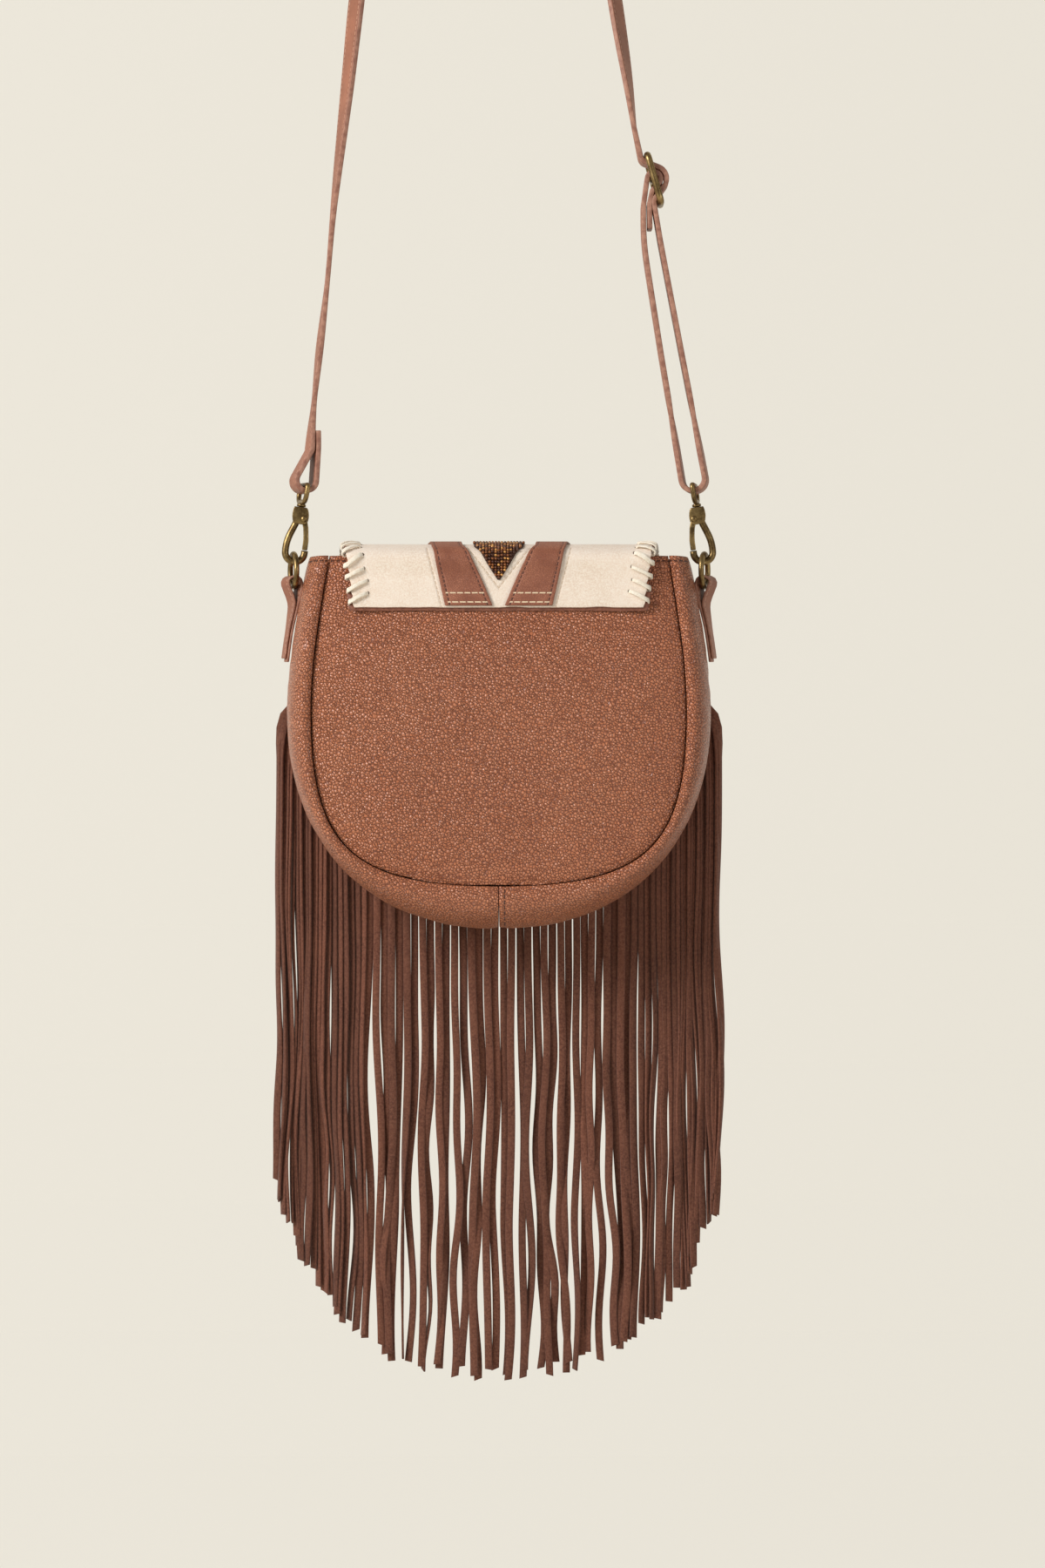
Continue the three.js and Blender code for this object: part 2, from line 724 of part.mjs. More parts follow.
function hookGeometry() {
  const outline = new THREE.Shape();
  outline.moveTo(blockOuter + 1.2, blockBottom);
  outline.lineTo(blockInner - 0.8, blockBottom);
  outline.quadraticCurveTo(blockInner + 0.4, 25, blockInner, 27.5);
  outline.quadraticCurveTo(blockInner - 0.6, forkTop + 0.4, 3.6, blockTop);
  outline.lineTo(-3.6, blockTop);
  outline.quadraticCurveTo(blockOuter - 0.2, forkTop, blockOuter, 26);
  outline.lineTo(blockOuter + 1.2, blockBottom);
  const head = new THREE.ExtrudeGeometry(outline, { depth: blockHalfDepth * 2, bevelEnabled: false, curveSegments: 3 })
    .rotateX(Math.PI / 2)
    .translate(0, blockHalfDepth, 0);
  const whole = joined([head, hookWire()]);
  const fork = block(-headRadius - 0.5, blockInner + 2, -forkHalf, forkHalf, blockBottom + 1.2, forkTop);
  const forkFoot = block(-0.2, blockInner + 2, -forkHalf, forkHalf, blockBottom - 3, blockBottom + 2);
  const bore = postUp(shankRadius + gap, forkTop - 1, blockTop + 1);
  const pinHole = crossPin(pinRadius + gap, blockHalfDepth + 1, gatePivot.x, gatePivot.y);
  return cut(whole, [fork, forkFoot, bore, pinHole]);
}

function gateGeometry() {
  const half = forkHalf - gap - 0.1;
  const tip = new THREE.Vector3(hookBend - 0.1, 0, hookBend + 2);
  const points = [
    tip,
    new THREE.Vector3(hookBend - 0.1, 0, 13),
    new THREE.Vector3(4.4, 0, 20),
    new THREE.Vector3(gatePivot.x + 0.3, 0, gatePivot.y - 1),
  ];
  const bar = sweep(points, () => new THREE.Vector3(0, 1, 0), rectangle(half * 1.8, 3));
  const knuckle = crossPin(gateKnuckle, half, gatePivot.x, gatePivot.y);
  const hole = crossPin(pinRadius + gap, half + 1, gatePivot.x, gatePivot.y);
  return cut(joined([bar, knuckle]), [hole]);
}

function gatePinGeometry() {
  const shaft = crossPin(pinRadius, blockHalfDepth + gap + 0.5, gatePivot.x, gatePivot.y);
  const y = blockHalfDepth + gap;
  const headAt = (side) => new THREE.CylinderGeometry(pinRadius + 0.9, pinRadius + 0.9, 0.8, 12)
    .translate(gatePivot.x, side * (y + 0.4), gatePivot.y);
  return joined([shaft, headAt(1), headAt(-1)]);
}

function roundedLoop(halfWidth, low, high, lowCorner, highCorner) {
  const path = new THREE.Path();
  path.moveTo(0, low);
  path.lineTo(halfWidth - lowCorner, low);
  path.absarc(halfWidth - lowCorner, low + lowCorner, lowCorner, -Math.PI / 2, 0, false);
  path.lineTo(halfWidth, high - highCorner);
  path.absarc(halfWidth - highCorner, high - highCorner, highCorner, 0, Math.PI / 2, false);
  path.lineTo(-halfWidth + highCorner, high);
  path.absarc(-halfWidth + highCorner, high - highCorner, highCorner, Math.PI / 2, Math.PI, false);
  path.lineTo(-halfWidth, low + lowCorner);
  path.absarc(-halfWidth + lowCorner, low + lowCorner, lowCorner, Math.PI, Math.PI * 1.5, false);
  path.lineTo(0, low);
  const flat = path.getPoints(3);
  return flat.filter((p, i) => i > 0 && p.distanceTo(flat[i - 1]) > 0.05);
}

function eyeGeometry() {
  const flat = roundedLoop(eyeInner / 2 + eyeWire, eyeBottom, eyeTop, 5, 1.8);
  const points = flat.map((p) => new THREE.Vector3(0, p.x, p.y));
  const ring = sweep(points, () => new THREE.Vector3(1, 0, 0), round(eyeWire, 6), true);
  const shank = postUp(shankRadius, forkTop - 2 * gap - 1.2, eyeBottom);
  const head = postUp(headRadius, forkTop - gap - 1.5, forkTop - gap);
  const collar = postUp(2.6, blockTop + gap, blockTop + gap + 1.6);
  return joined([ring, shank, head, collar]);
}

// Strap route: a belt round bars and bends, worked out from circles in the strap's own plane
// A stop is x, z, radius and side. Side 1 keeps its centre on the left of the way, -1 on the right.

function beltPoints(stops) {
  const tangents = [];
  for (let i = 0; i < stops.length - 1; i += 1) {
    const a = stops[i];
    const b = stops[i + 1];
    const dx = b.x - a.x;
    const dz = b.z - a.z;
    const k = b.side * b.r - a.side * a.r;
    const heading = Math.atan2(dz, dx) - Math.asin(k / Math.hypot(dx, dz));
    const nx = -Math.sin(heading);
    const nz = Math.cos(heading);
    tangents.push({
      from: { x: a.x - a.side * a.r * nx, z: a.z - a.side * a.r * nz },
      to: { x: b.x - b.side * b.r * nx, z: b.z - b.side * b.r * nz },
    });
  }
  const points = [];
  const push = (x, z, twist) => points.push({ x, z, twist });
  push(tangents[0].from.x, tangents[0].from.z, stops[0].twist);
  for (let i = 1; i < stops.length - 1; i += 1) {
    const stop = stops[i];
    const arrive = tangents[i - 1].to;
    const leave = tangents[i].from;
    if (stop.r === 0) {
      push(stop.x, stop.z, stop.twist);
      continue;
    }
    const a0 = Math.atan2(arrive.z - stop.z, arrive.x - stop.x);
    let sweepAngle = Math.atan2(leave.z - stop.z, leave.x - stop.x) - a0;
    if (stop.side > 0 && sweepAngle < 0) sweepAngle += Math.PI * 2;
    if (stop.side < 0 && sweepAngle > 0) sweepAngle -= Math.PI * 2;
    const steps = Math.max(1, Math.ceil(Math.abs(sweepAngle) / 0.52));
    const reach = stop.r / Math.cos(sweepAngle / steps / 4);
    for (const t of range(0, 1, steps)) {
      const angle = a0 + sweepAngle * t;
      push(stop.x + reach * Math.cos(angle), stop.z + reach * Math.sin(angle), stop.twist);
    }
  }
  const last = tangents[tangents.length - 1].to;
  push(last.x, last.z, stops[stops.length - 1].twist);
  return points;
}

const hookBase = { z: bagTop - rodDrop, left: bagX - ringSpread, right: bagX + ringSpread };
const eyeAt = (side) => ({
  x: (side < 0 ? hookBase.left : hookBase.right) - side * eyeTop * Math.sin(hookTilt),
  z: hookBase.z + eyeTop * Math.cos(hookTilt),
});

const slideTop = { x: 93.5, z: -370 };
const slideLean = THREE.MathUtils.degToRad(16);
const slideBar = (n) => ({
  x: slideTop.x + n * slideStep * Math.sin(slideLean),
  z: slideTop.z - n * slideStep * Math.cos(slideLean),
});

const barWrap = wireHalf + gap + 0.05 + strapThick / 2; // strap's middle round a bare bar
const doubleWrap = barWrap + strapThick + gap + 0.05; // the same over another layer

function stop(x, z, twist = 0, r = 0, side = 1) {
  return { x, z, r, side, twist: THREE.MathUtils.degToRad(twist) };
}

function strapStops() {
  const left = eyeAt(-1);
  const right = eyeAt(1);
  const leftLoop = 5.75;
  const rightLoop = 6.75;
  const tailReach = 6.9; // from the eye to the strand on its inner side
  const rightOpening = 11.9; // width of the loop between the right strands
  const sit = (loop) => loop - strapThick / 2 - gap - eyeWire;
  const [t, c, b] = [0, 1, 2].map(slideBar);
  const beside = strapThick + gap;
  return [
    stop(left.x + tailReach + 0.4, left.z + 31.6),
    stop(left.x + tailReach, left.z + 20.6),
    stop(left.x, left.z + sit(leftLoop), 0, leftLoop, -1),
    stop(left.x + tailReach - beside, left.z + 20.6),
    stop(left.x + tailReach + 0.4 - beside, left.z + 31.6),
    stop(left.x + 6.3, left.z + 53.6, 4),
    stop(-94.5, -480, 12),
    stop(-89.75, -440, 2),
    stop(-87, -405, 5),
    stop(-84.3, -380, 12),
    stop(-78.5, -330, 24),
    stop(-73.25, -280, 32),
    stop(-60, -180, 20),
    stop(0, strapThick / 2 - 38, 0, 38, -1),
    stop(62, -190, 18),
    stop(75, -280, 28),
    stop(79, -305, 24),
    stop(83, -330, 14),
    stop(85.75, -352, 3),
    stop(t.x, t.z, 0, barWrap, 1),
    stop(c.x, c.z, 0, doubleWrap, -1),
    stop(b.x, b.z, 0, barWrap, 1),
    stop(101.2, -420),
    stop(right.x - tailReach, right.z + 74.6),
    stop(right.x, right.z + sit(rightLoop), 0, rightLoop, -1),
    stop(right.x - tailReach - rightOpening, right.z + 74.6),
    stop(91.4, -420),
    stop(91.2, -400),
    stop(c.x, c.z, 0, barWrap, -1),
    stop(95.55, -391.2),
    stop(94.75, -397),
    stop(95.0, -412),
  ];
}

// The strap's ends turn a little with the eyes that they hold
const eyeTurns = { left: THREE.MathUtils.degToRad(16), right: THREE.MathUtils.degToRad(8) };

function turnedAt(p, x) {
  const right = x > 0;
  const eye = eyeAt(right ? 1 : -1);
  const start = -505;
  const full = -540;
  const t = THREE.MathUtils.clamp((p.z - start) / (full - start), 0, 1);
  const angle = (right ? -eyeTurns.right : eyeTurns.left) * t * t * (3 - 2 * t);
  return { angle, axisX: eye.x };
}

function strapGeometry() {
  const flat = beltPoints(strapStops());
  const turns = flat.map((p) => turnedAt(p, p.x));
  const vertical = new THREE.Vector3(0, 0, 1);
  const points = flat.map((p, i) => {
    const { angle, axisX } = turns[i];
    return new THREE.Vector3(p.x - axisX, 0, p.z).applyAxisAngle(vertical, angle).add(new THREE.Vector3(axisX, 0, 0));
  });
  const across = (i, along) => new THREE.Vector3(0, 1, 0)
    .applyAxisAngle(vertical, turns[i].angle)
    .applyAxisAngle(along, flat[i].twist);
  return sweep(points, across, rectangle(strapWidth, strapThick));
}

function slideFrameGeometry() {
  const half = slideInner / 2 + wireHalf;
  const flat = roundedLoop(half, -2 * slideStep, 0, slideCorner, slideCorner);
  const points = flat.map((p) => new THREE.Vector3(0, p.x, p.y));
  return sweep(points, () => new THREE.Vector3(1, 0, 0), round(wireHalf, 6), true);
}

function slideBarGeometry() {
  return new THREE.CylinderGeometry(wireHalf, wireHalf, slideInner - 2 * gap, 12).translate(0, 0, -slideStep);
}

// The scene graph

const product = new THREE.Group();

function add(parent, name, geometry, material) {
  const mesh = new THREE.Mesh(geometry, material);
  mesh.name = name;
  parent.add(mesh);
  return mesh;
}

function groupAt(parent, x, y, z) {
  const group = new THREE.Group();
  group.position.set(x, y, z);
  parent.add(group);
  return group;
}

const brass = (name, parent, geometry) => add(parent, name, geometry, finish(colours.brass, 0.35, 0.9));

add(product, "strap", strapGeometry(), finish(colours.strap));
const slide = groupAt(product, slideTop.x, 0, slideTop.z);
slide.rotation.y = -slideLean;
brass("slide_frame", slide, slideFrameGeometry());
brass("slide_bar", slide, slideBarGeometry());

const bag = groupAt(product, bagX, 0, bagTop);
add(bag, "back_panel", panelGeometry(-1), finish(colours.panel));
add(bag, "front_panel", panelGeometry(1), finish(colours.panel));
add(bag, "gusset_left", gussetGeometry(-1), finish(colours.gusset));
add(bag, "gusset_right", gussetGeometry(1), finish(colours.gusset));
add(bag, "lining", liningGeometry(), finish(colours.lining, 0.9));

const frontRows = flapFrontRows();
const rearRows = flapRearRows();
const liningRows = frontRows.filter((row) => row.share > shareAtDrop(10))
  .map((row) => ({ half: row.half, share: row.share - flapLiningInset / profileLength }));
add(bag, "flap_rear", flapSheet(rearRows, flapThick, 0), finish(colours.suede, 0.95));
add(bag, "flap_front", flapSheet(frontRows, flapThick, 0), finish(colours.suede, 0.95));
add(bag, "flap_lining", flapSheet(liningRows, flapLiningThick, liningLift, flapLiningInset), finish(colours.lining, 0.9));
const beadRearHalves = [beadTip, beadHalf * 0.42, beadHalf * 0.78];
const beadFrontHalves = [beadHalf * 0.9, beadHalf, beadTip];
const beadRear = beadGeometry(profileWhere((p) => p.z > -beadRearDrop), hingeShare - trimKeep, beadRearHalves, 4);
const beadFront = beadGeometry(hingeShare + trimKeep, shareAtDrop(beadFrontDrop), beadFrontHalves, 12);
add(bag, "beads_rear", beadRear, finish(colours.beads, 0.3, 0.4));
add(bag, "beads_front", beadFront, finish(colours.beads, 0.3, 0.4));

for (const [label, side] of [["left", -1], ["right", 1]]) {
  add(bag, `band_rear_${label}`, bandRearGeometry(side), finish(colours.band));
  add(bag, `band_front_${label}`, bandFrontGeometry(side), finish(colours.band));
  add(bag, `lace_rear_${label}`, laceGeometry(side, rearRows, 4), finish(colours.lace, 0.9));
  add(bag, `lace_front_${label}`, laceGeometry(side, frontRows.slice(0, 16), laceStitches), finish(colours.lace, 0.9));
}

add(bag, "fringe_band", fringeBandGeometry(), finish(colours.fringe, 0.95));
add(bag, "fringe_row_0", middleFringeGeometry(fringeRows[0]), finish(colours.fringe, 0.95));
fringeRows.slice(1).forEach((row, k) => {
  add(bag, `fringe_row_${k + 1}_left`, fringeGeometry(row, -1), finish(colours.fringe, 0.95));
  add(bag, `fringe_row_${k + 1}_right`, fringeGeometry(row, 1), finish(colours.fringe, 0.95));
});

const panelOut = panelFace(0, -snapDrop);
const liningBack = flapStand + liningLift - flapLiningThick / 2;
const disc = (thick) => new THREE.CylinderGeometry(snapRadius, snapRadius, thick, 20);
brass("snap_socket", bag, disc(socketThick).translate(0, panelOut + gap + socketThick / 2, -snapDrop));
brass("snap_stud", bag, disc(studThick).translate(0, liningBack - gap - studThick / 2, -snapDrop));

const ringZ = -rodDrop + wireHalf + ringWire + ringPlay - ringRadius;

for (const [label, side] of [["left", -1], ["right", 1]]) {
  const ringPlace = groupAt(bag, side * ringSpread, 0, ringZ);
  ringPlace.rotation.z = -side * ringTurn;
  brass(`ring_${label}`, ringPlace, new THREE.TorusGeometry(ringRadius, ringWire, 8, 22).rotateY(Math.PI / 2));
  const tab = tabGeometry(ringZ);
  add(bag, `tab_${label}`, side > 0 ? tab : mirrored(tab), finish(colours.strap));
  const hook = groupAt(bag, side * ringSpread, 0, -rodDrop);
  hook.rotation.y = -side * hookTilt;
  const facing = (geometry) => (side > 0 ? mirrored(mergedPlain(geometry)) : geometry);
  brass(`hook_${label}`, hook, facing(hookGeometry()));
  brass(`gate_${label}`, hook, facing(gateGeometry()));
  brass(`gate_pin_${label}`, hook, facing(gatePinGeometry()));
  const eye = groupAt(hook, 0, 0, 0);
  eye.rotation.z = side > 0 ? -eyeTurns.right : eyeTurns.left;
  brass(`eye_${label}`, eye, eyeGeometry());
}

function mergedPlain(geometry) {
  return geometry.index ? geometry : mergeVertices(geometry);
}

export default product;
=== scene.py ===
# Fringe crossbody bag, hanging by its strap and seen from the back.
# Metres. +Z up, -Y the bag's back, +X the side with the strap's slide, origin under the strap's top bend.

import random
from math import asin, atan2, copysign, cos, dist, exp, hypot, pi, radians, sin, sqrt

import bmesh
import bpy
from mathutils import Matrix, Vector, noise


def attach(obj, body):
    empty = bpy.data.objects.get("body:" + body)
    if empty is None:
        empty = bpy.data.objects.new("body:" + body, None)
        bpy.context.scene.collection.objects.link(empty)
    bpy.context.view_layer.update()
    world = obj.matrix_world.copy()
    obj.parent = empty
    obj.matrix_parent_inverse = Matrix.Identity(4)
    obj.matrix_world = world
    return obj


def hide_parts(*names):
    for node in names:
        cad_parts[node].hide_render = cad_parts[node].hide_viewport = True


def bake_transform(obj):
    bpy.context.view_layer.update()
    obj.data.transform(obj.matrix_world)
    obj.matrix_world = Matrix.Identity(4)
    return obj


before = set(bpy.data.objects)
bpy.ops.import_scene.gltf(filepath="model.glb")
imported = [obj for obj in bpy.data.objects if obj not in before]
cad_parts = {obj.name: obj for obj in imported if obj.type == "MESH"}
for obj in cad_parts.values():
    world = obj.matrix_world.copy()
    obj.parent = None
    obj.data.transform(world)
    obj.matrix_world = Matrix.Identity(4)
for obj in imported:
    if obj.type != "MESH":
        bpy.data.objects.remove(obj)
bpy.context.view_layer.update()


# View and light
# The photograph was taken straight at the bag's back. A pale paper sweep runs behind and under it,
# with one large soft lamp high on the left and a weaker one on the right. The sweep is clear from behind.

def sRGB(*levels):
    """A colour for the shader, from its red, green and blue as a screen shows them, 0 to 255."""
    return (*((c / 255 / 12.92 if c < 11 else ((c / 255 + 0.055) / 1.055) ** 2.4) for c in levels), 1.0)


lens = bpy.data.cameras.new("view")
lens.sensor_fit = "VERTICAL"
lens.sensor_height = 36
lens.lens = 100
lens.clip_end = 30
view = bpy.data.objects.new("view", lens)
view.location = (0.022, -2.5, -0.730)
view.rotation_euler = (pi / 2, 0, 0)
bpy.context.scene.collection.objects.link(view)
bpy.context.scene.camera = view
bpy.context.scene.view_settings.view_transform = "Standard"


class Wire:
    """One output of a node in a finish. Sums and products of wires add their Math nodes."""

    def __init__(self, finish, socket):
        self.finish = finish
        self.socket = socket

    def maths(self, operation, *values):
        return self.finish.node("Math", {"operation": operation}, dict(enumerate(values)))

    def __add__(self, other):
        return self.maths("ADD", self, other)

    def __sub__(self, other):
        return self.maths("SUBTRACT", self, other)

    def __rsub__(self, other):
        return self.maths("SUBTRACT", other, self)

    def __mul__(self, other):
        return self.maths("MULTIPLY", self, other)

    def __truediv__(self, other):
        return self.maths("DIVIDE", self, other)

    def __abs__(self):
        return self.maths("ABSOLUTE", self)

    __radd__ = __add__
    __rmul__ = __mul__

    def fract(self):
        return self.maths("FRACT", self)

    def step(self, low, high):
        """0 below low, 1 above high, and a soft rise between. With low above high it falls."""
        return self.finish.node("MapRange", {"interpolation_type": "SMOOTHSTEP"}, {0: self, 1: low, 2: high})

    def other(self, name):
        return Wire(self.finish, self.socket.node.outputs[name])


class Finish:
    """A material and the nodes that vary it over the surface."""

    def __init__(self, name, **constants):
        self.material = bpy.data.materials.new(name)
        self.material.use_nodes = True
        self.tree = self.material.node_tree
        self.shader = self.tree.nodes["Principled BSDF"]
        for socket, value in constants.items():
            self.shader.inputs[socket.replace("_", " ")].default_value = value

    def node(self, kind, settings=None, sockets=None, out=0):
        made = self.tree.nodes.new("ShaderNode" + kind)
        for name, value in (settings or {}).items():
            setattr(made, name, value)
        for name, value in (sockets or {}).items():
            self.join(value, made.inputs[name])
        return Wire(self, made.outputs[out])

    def join(self, value, socket):
        if isinstance(value, Wire):
            self.tree.links.new(value.socket, socket)
        else:
            socket.default_value = value

    def mix(self, share, first, second):
        return self.node("Mix", {"data_type": "RGBA"}, {0: share, 6: first, 7: second}, out=2)

    def where(self):
        return self.node("TexCoord", out="Object")

    def cloud(self, where, scale, detail=3.0, roughness=0.55):
        return self.node("TexNoise", None, {"Vector": where, "Scale": scale, "Detail": detail, "Roughness": roughness})

    def relief(self, height, distance, strength=1.0):
        bump = self.node("Bump", None, {"Height": height, "Distance": distance, "Strength": strength})
        self.join(bump, self.shader.inputs["Normal"])

    def colour(self, value):
        self.join(value, self.shader.inputs["Base Color"])

    def roughness(self, value):
        self.join(value, self.shader.inputs["Roughness"])


def mottled(name, roughness, scale, detail, dark, light, relief=0):
    """A plain finish of two tones. With a relief its patches are sharper and stand out."""
    finish = Finish(name, Roughness=roughness)
    patches = finish.cloud(finish.where(), scale, detail)
    finish.colour(finish.mix(patches.step(0.3, 0.7) if relief else patches, sRGB(*dark), sRGB(*light)))
    if relief:
        finish.relief(patches, relief)
    return finish


paper = Finish("paper_sweep", Roughness=1.0)
paper.shader.inputs["Base Color"].default_value = sRGB(236, 231, 219)
light_path = paper.node("LightPath", out="Is Camera Ray")
seen = light_path.maths("MAXIMUM", light_path.other("Is Glossy Ray"), light_path)
seen = seen.maths("MAXIMUM", seen, light_path.other("Is Transmission Ray")) * 0.8
glow = paper.node("Emission", None, {"Color": sRGB(237, 232, 220), "Strength": 1.0})
both = paper.node("MixShader", None, {0: seen, 2: glow})
paper.tree.links.new(paper.shader.outputs[0], both.socket.node.inputs[1])
clear = paper.node("BsdfTransparent")
sheet = paper.node("MixShader", None, {0: paper.node("NewGeometry", out="Backfacing"), 1: both, 2: clear})
paper.tree.links.new(sheet.socket, paper.tree.nodes["Material Output"].inputs["Surface"])

sweep = bmesh.new()
bmesh.ops.create_grid(sweep, x_segments=1, y_segments=40, size=1)
for vert in sweep.verts:
    t = (vert.co.y + 1) / 2
    turn = min(max((t - 0.4) / 0.2, 0), 1) * pi / 2
    ahead = -6 + min(t / 0.4, 1) * 6.6
    vert.co = (vert.co.x * 7, ahead + 0.6 * sin(turn), -1.45 + 0.6 * (1 - cos(turn)) + max(t - 0.6, 0) * 12)
sweep_mesh = bpy.data.meshes.new("paper_sweep")
sweep.to_mesh(sweep_mesh)
sweep.free()
sweep_mesh.materials.append(paper.material)
sweep_sheet = bpy.data.objects.new("paper_sweep", sweep_mesh)
bpy.context.scene.collection.objects.link(sweep_sheet)

for lamp_name, place, size, power in (
    ("lamp_left", (-2.0, -1.5, 0.5), 1.1, 68),
    ("lamp_right", (1.9, -1.9, -0.4), 1.2, 13),
):
    lamp = bpy.data.lights.new(lamp_name, "AREA")
    lamp.size = size
    lamp.energy = power
    stand = bpy.data.objects.new(lamp_name, lamp)
    stand.location = place
    stand.rotation_euler = (Vector((0.01, 0, -0.78)) - Vector(place)).to_track_quat("-Z", "Y").to_euler()
    bpy.context.scene.collection.objects.link(stand)

room = bpy.data.worlds.new("room")
room.use_nodes = True
room.node_tree.nodes["Background"].inputs["Color"].default_value = (1.0, 0.985, 0.955, 1.0)
room.node_tree.nodes["Background"].inputs["Strength"].default_value = 0.27
bpy.context.scene.world = room


# Back and front panels
# Two saddle-shaped pieces of pebbled cowhide, crowned by what is in the bag, turned in along
# their seams with the gusset and stitched through along the mouth.

mm = 0.001
bag_x, bag_top = 8.5, -600
both_sides = (("left", -1), ("right", 1))
leather, half_depth = 1.8, 30
panel_drop, crown_fade = 188, 50
swell_end = radians(112)


def bag(x, y, z):
    """A point measured in millimetres from the middle of the bag's mouth."""
    return Vector((x + bag_x, y, z + bag_top)) * mm


def bezier(a, b, c, d, t):
    s = 1 - t
    return tuple(s ** 3 * p + 3 * s * s * t * q + 3 * s * t * t * r + t ** 3 * e for p, q, r, e in zip(a, b, c, d))


def half_outline(mouth, belly, bottom, roundness, drop=90):
    """Half of a saddle shape: from the mouth to the widest place for s to 1, and to the bottom for s to 2."""
    def outline(s):
        if s < 1:
            return bezier((mouth, 0), ((mouth + belly) / 2, -drop * 0.36), (belly, -drop * 0.67), (belly, -drop), s)
        low = (belly, -drop - roundness * (bottom - drop))
        return bezier((belly, -drop), low, (roundness * belly, -bottom), (0, -bottom), s - 1)
    return outline


def half_at(outline, z, end):
    """Half width of such an outline at a height, between its mouth and its point for end."""
    low, high = 0.0, end
    for _ in range(30):
        middle = (low + high) / 2
        low, high = (middle, high) if outline(middle)[1] > z else (low, middle)
    return outline(low)[0]


silhouette = half_outline(109.5, 121.5, 213.5, 0.61)
panel_seam = half_outline(96.5, 106.5, panel_drop, 0.78)


def ease(t):
    t = min(max(t, 0), 1)
    return t * t * (3 - 2 * t)


def wander(*place):
    """A smooth stray value between -1 and 1."""
    return noise.noise(Vector(place))


def depth_at(z):
    """Half the bag's depth at its seams. The mouth pulls in."""
    return half_depth * (0.72 + 0.28 * ease(-z / 70))


def panel_face(across, z):
    """How far a panel stands from the bag's middle. It is crowned between its seams."""
    low = min(max((-z - crown_fade) / (panel_drop - crown_fade), 0), 1)
    return depth_at(z) * sin(swell_end) + 3.5 * (1 - across ** 4) * (1 - low ** 5)


def laid(across, along, place, cut=(1.0, 1.0)):
    """A grid of hide laid on the form that place gives for u and v, each from 0 to 1."""
    hide = bmesh.new()
    bmesh.ops.create_grid(hide, x_segments=across, y_segments=along, size=1)
    flat = hide.loops.layers.uv.new("Cut")
    for face in hide.faces:
        for loop in face.loops:
            loop[flat].uv = ((loop.vert.co.x + 1) / 2 * cut[0], (loop.vert.co.y + 1) / 2 * cut[1])
    for vert in hide.verts:
        vert.co = place((vert.co.x + 1) / 2, (vert.co.y + 1) / 2)
    hide.normal_update()
    return hide


def thicken(hide, thick, rounding, segments=2):
    """Gives the hide its thickness, away from its outer side, with a rounded cut edge of material 1."""
    outer = set(hide.verts)
    bmesh.ops.solidify(hide, geom=hide.faces[:], thickness=thick)
    rim = [f for f in hide.faces if 0 < sum(v in outer for v in f.verts) < len(f.verts)]
    for face in rim:
        face.material_index = 1
    inner_of_rim = set(rim)
    corners = [e for f in rim for e in f.edges if any(g not in inner_of_rim for g in e.link_faces)]
    bmesh.ops.bevel(
        hide, geom=list(set(corners)), offset=rounding, segments=segments, profile=0.5, affect="EDGES", material=-1
    )
    return hide


def add_to(shape, extra):
    """Adds one shape to another."""
    part = bpy.data.meshes.new("part")
    extra.to_mesh(part)
    extra.free()
    shape.from_mesh(part)
    bpy.data.meshes.remove(part)


def made(name, shape, finishes, slot, stands_for=(), body=None):
    """Turns a shape into a piece of the bag, in its finishes."""
    mesh = bpy.data.meshes.new(name)
    shape.to_mesh(mesh)
    shape.free()
    mesh.polygons.foreach_set("use_smooth", [True] * len(mesh.polygons))
    for finish in finishes:
        mesh.materials.append(finish.material)
    piece = bpy.data.objects.new(name, mesh)
    bpy.context.scene.collection.objects.link(piece)
    if stands_for:
        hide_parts(*stands_for)
    if body:
        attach(piece, body)
    return piece


def sewn_row(finish, across, along, pitch=3.2, width=0.42, end=0.72):
    """1 on the stitches of a row whose middle line is where across is 0. Both in millimetres."""
    phase = (along / pitch).fract()
    return abs(across).step(width, width * 0.5) * phase.step(0.02, 0.12) * phase.step(end + 0.06, end - 0.04)


def pebbled_hide(name, rows):
    hide = Finish(name, Specular_IOR_Level=0.55)
    where = hide.where()
    drift = hide.cloud(where, 170, 2.0)
    push = hide.node("VectorMath", {"operation": "SCALE"}, {0: drift.other("Color"), "Scale": 0.0016})
    bent = hide.node("VectorMath", {"operation": "ADD"}, {0: where, 1: push})
    gaps = hide.node("TexVoronoi", {"feature": "DISTANCE_TO_EDGE"}, {"Vector": bent, "Scale": 600})
    dome = hide.node("TexVoronoi", None, {"Vector": bent, "Scale": 600})
    pebble = gaps.step(0.0, 0.13)
    creases = hide.cloud(where, 1900, 4.0)
    tone = hide.cloud(where, 16, 3.0)
    # The creases between pebbles take a darker colour: painted shade. The pebble tops take the lighter one.
    crease_shade = hide.mix(tone.step(0.35, 0.7), sRGB(126, 68, 44), sRGB(136, 76, 51))
    top = hide.mix(tone.step(0.3, 0.72), sRGB(181, 109, 74), sRGB(190, 118, 82))
    # A lighter patch at the middle of each pebble: painted highlight.
    top = hide.mix(dome.step(0.5, 0.05) * 0.3, top, sRGB(212, 146, 108))
    shade = hide.mix(pebble, crease_shade, top)
    height = pebble * 0.7 + dome.step(0.7, 0.0) * 0.6 + creases * 0.15
    x = hide.node("SeparateXYZ", None, {0: where})
    z = x.other("Z")
    for row in rows(x * 1000 - bag_x, z * 1000 - bag_top):
        mask = sewn_row(hide, *row)
        shade = hide.mix(mask, shade, sRGB(74, 38, 26))
        height = height - abs(row[0]).step(1.3, 0.0) * 1.1 + mask * 0.9
    hide.colour(shade)
    hide.roughness(0.4 - pebble * 0.17 + creases * 0.1)
    hide.relief(height, 0.0007, 1.0)
    return hide


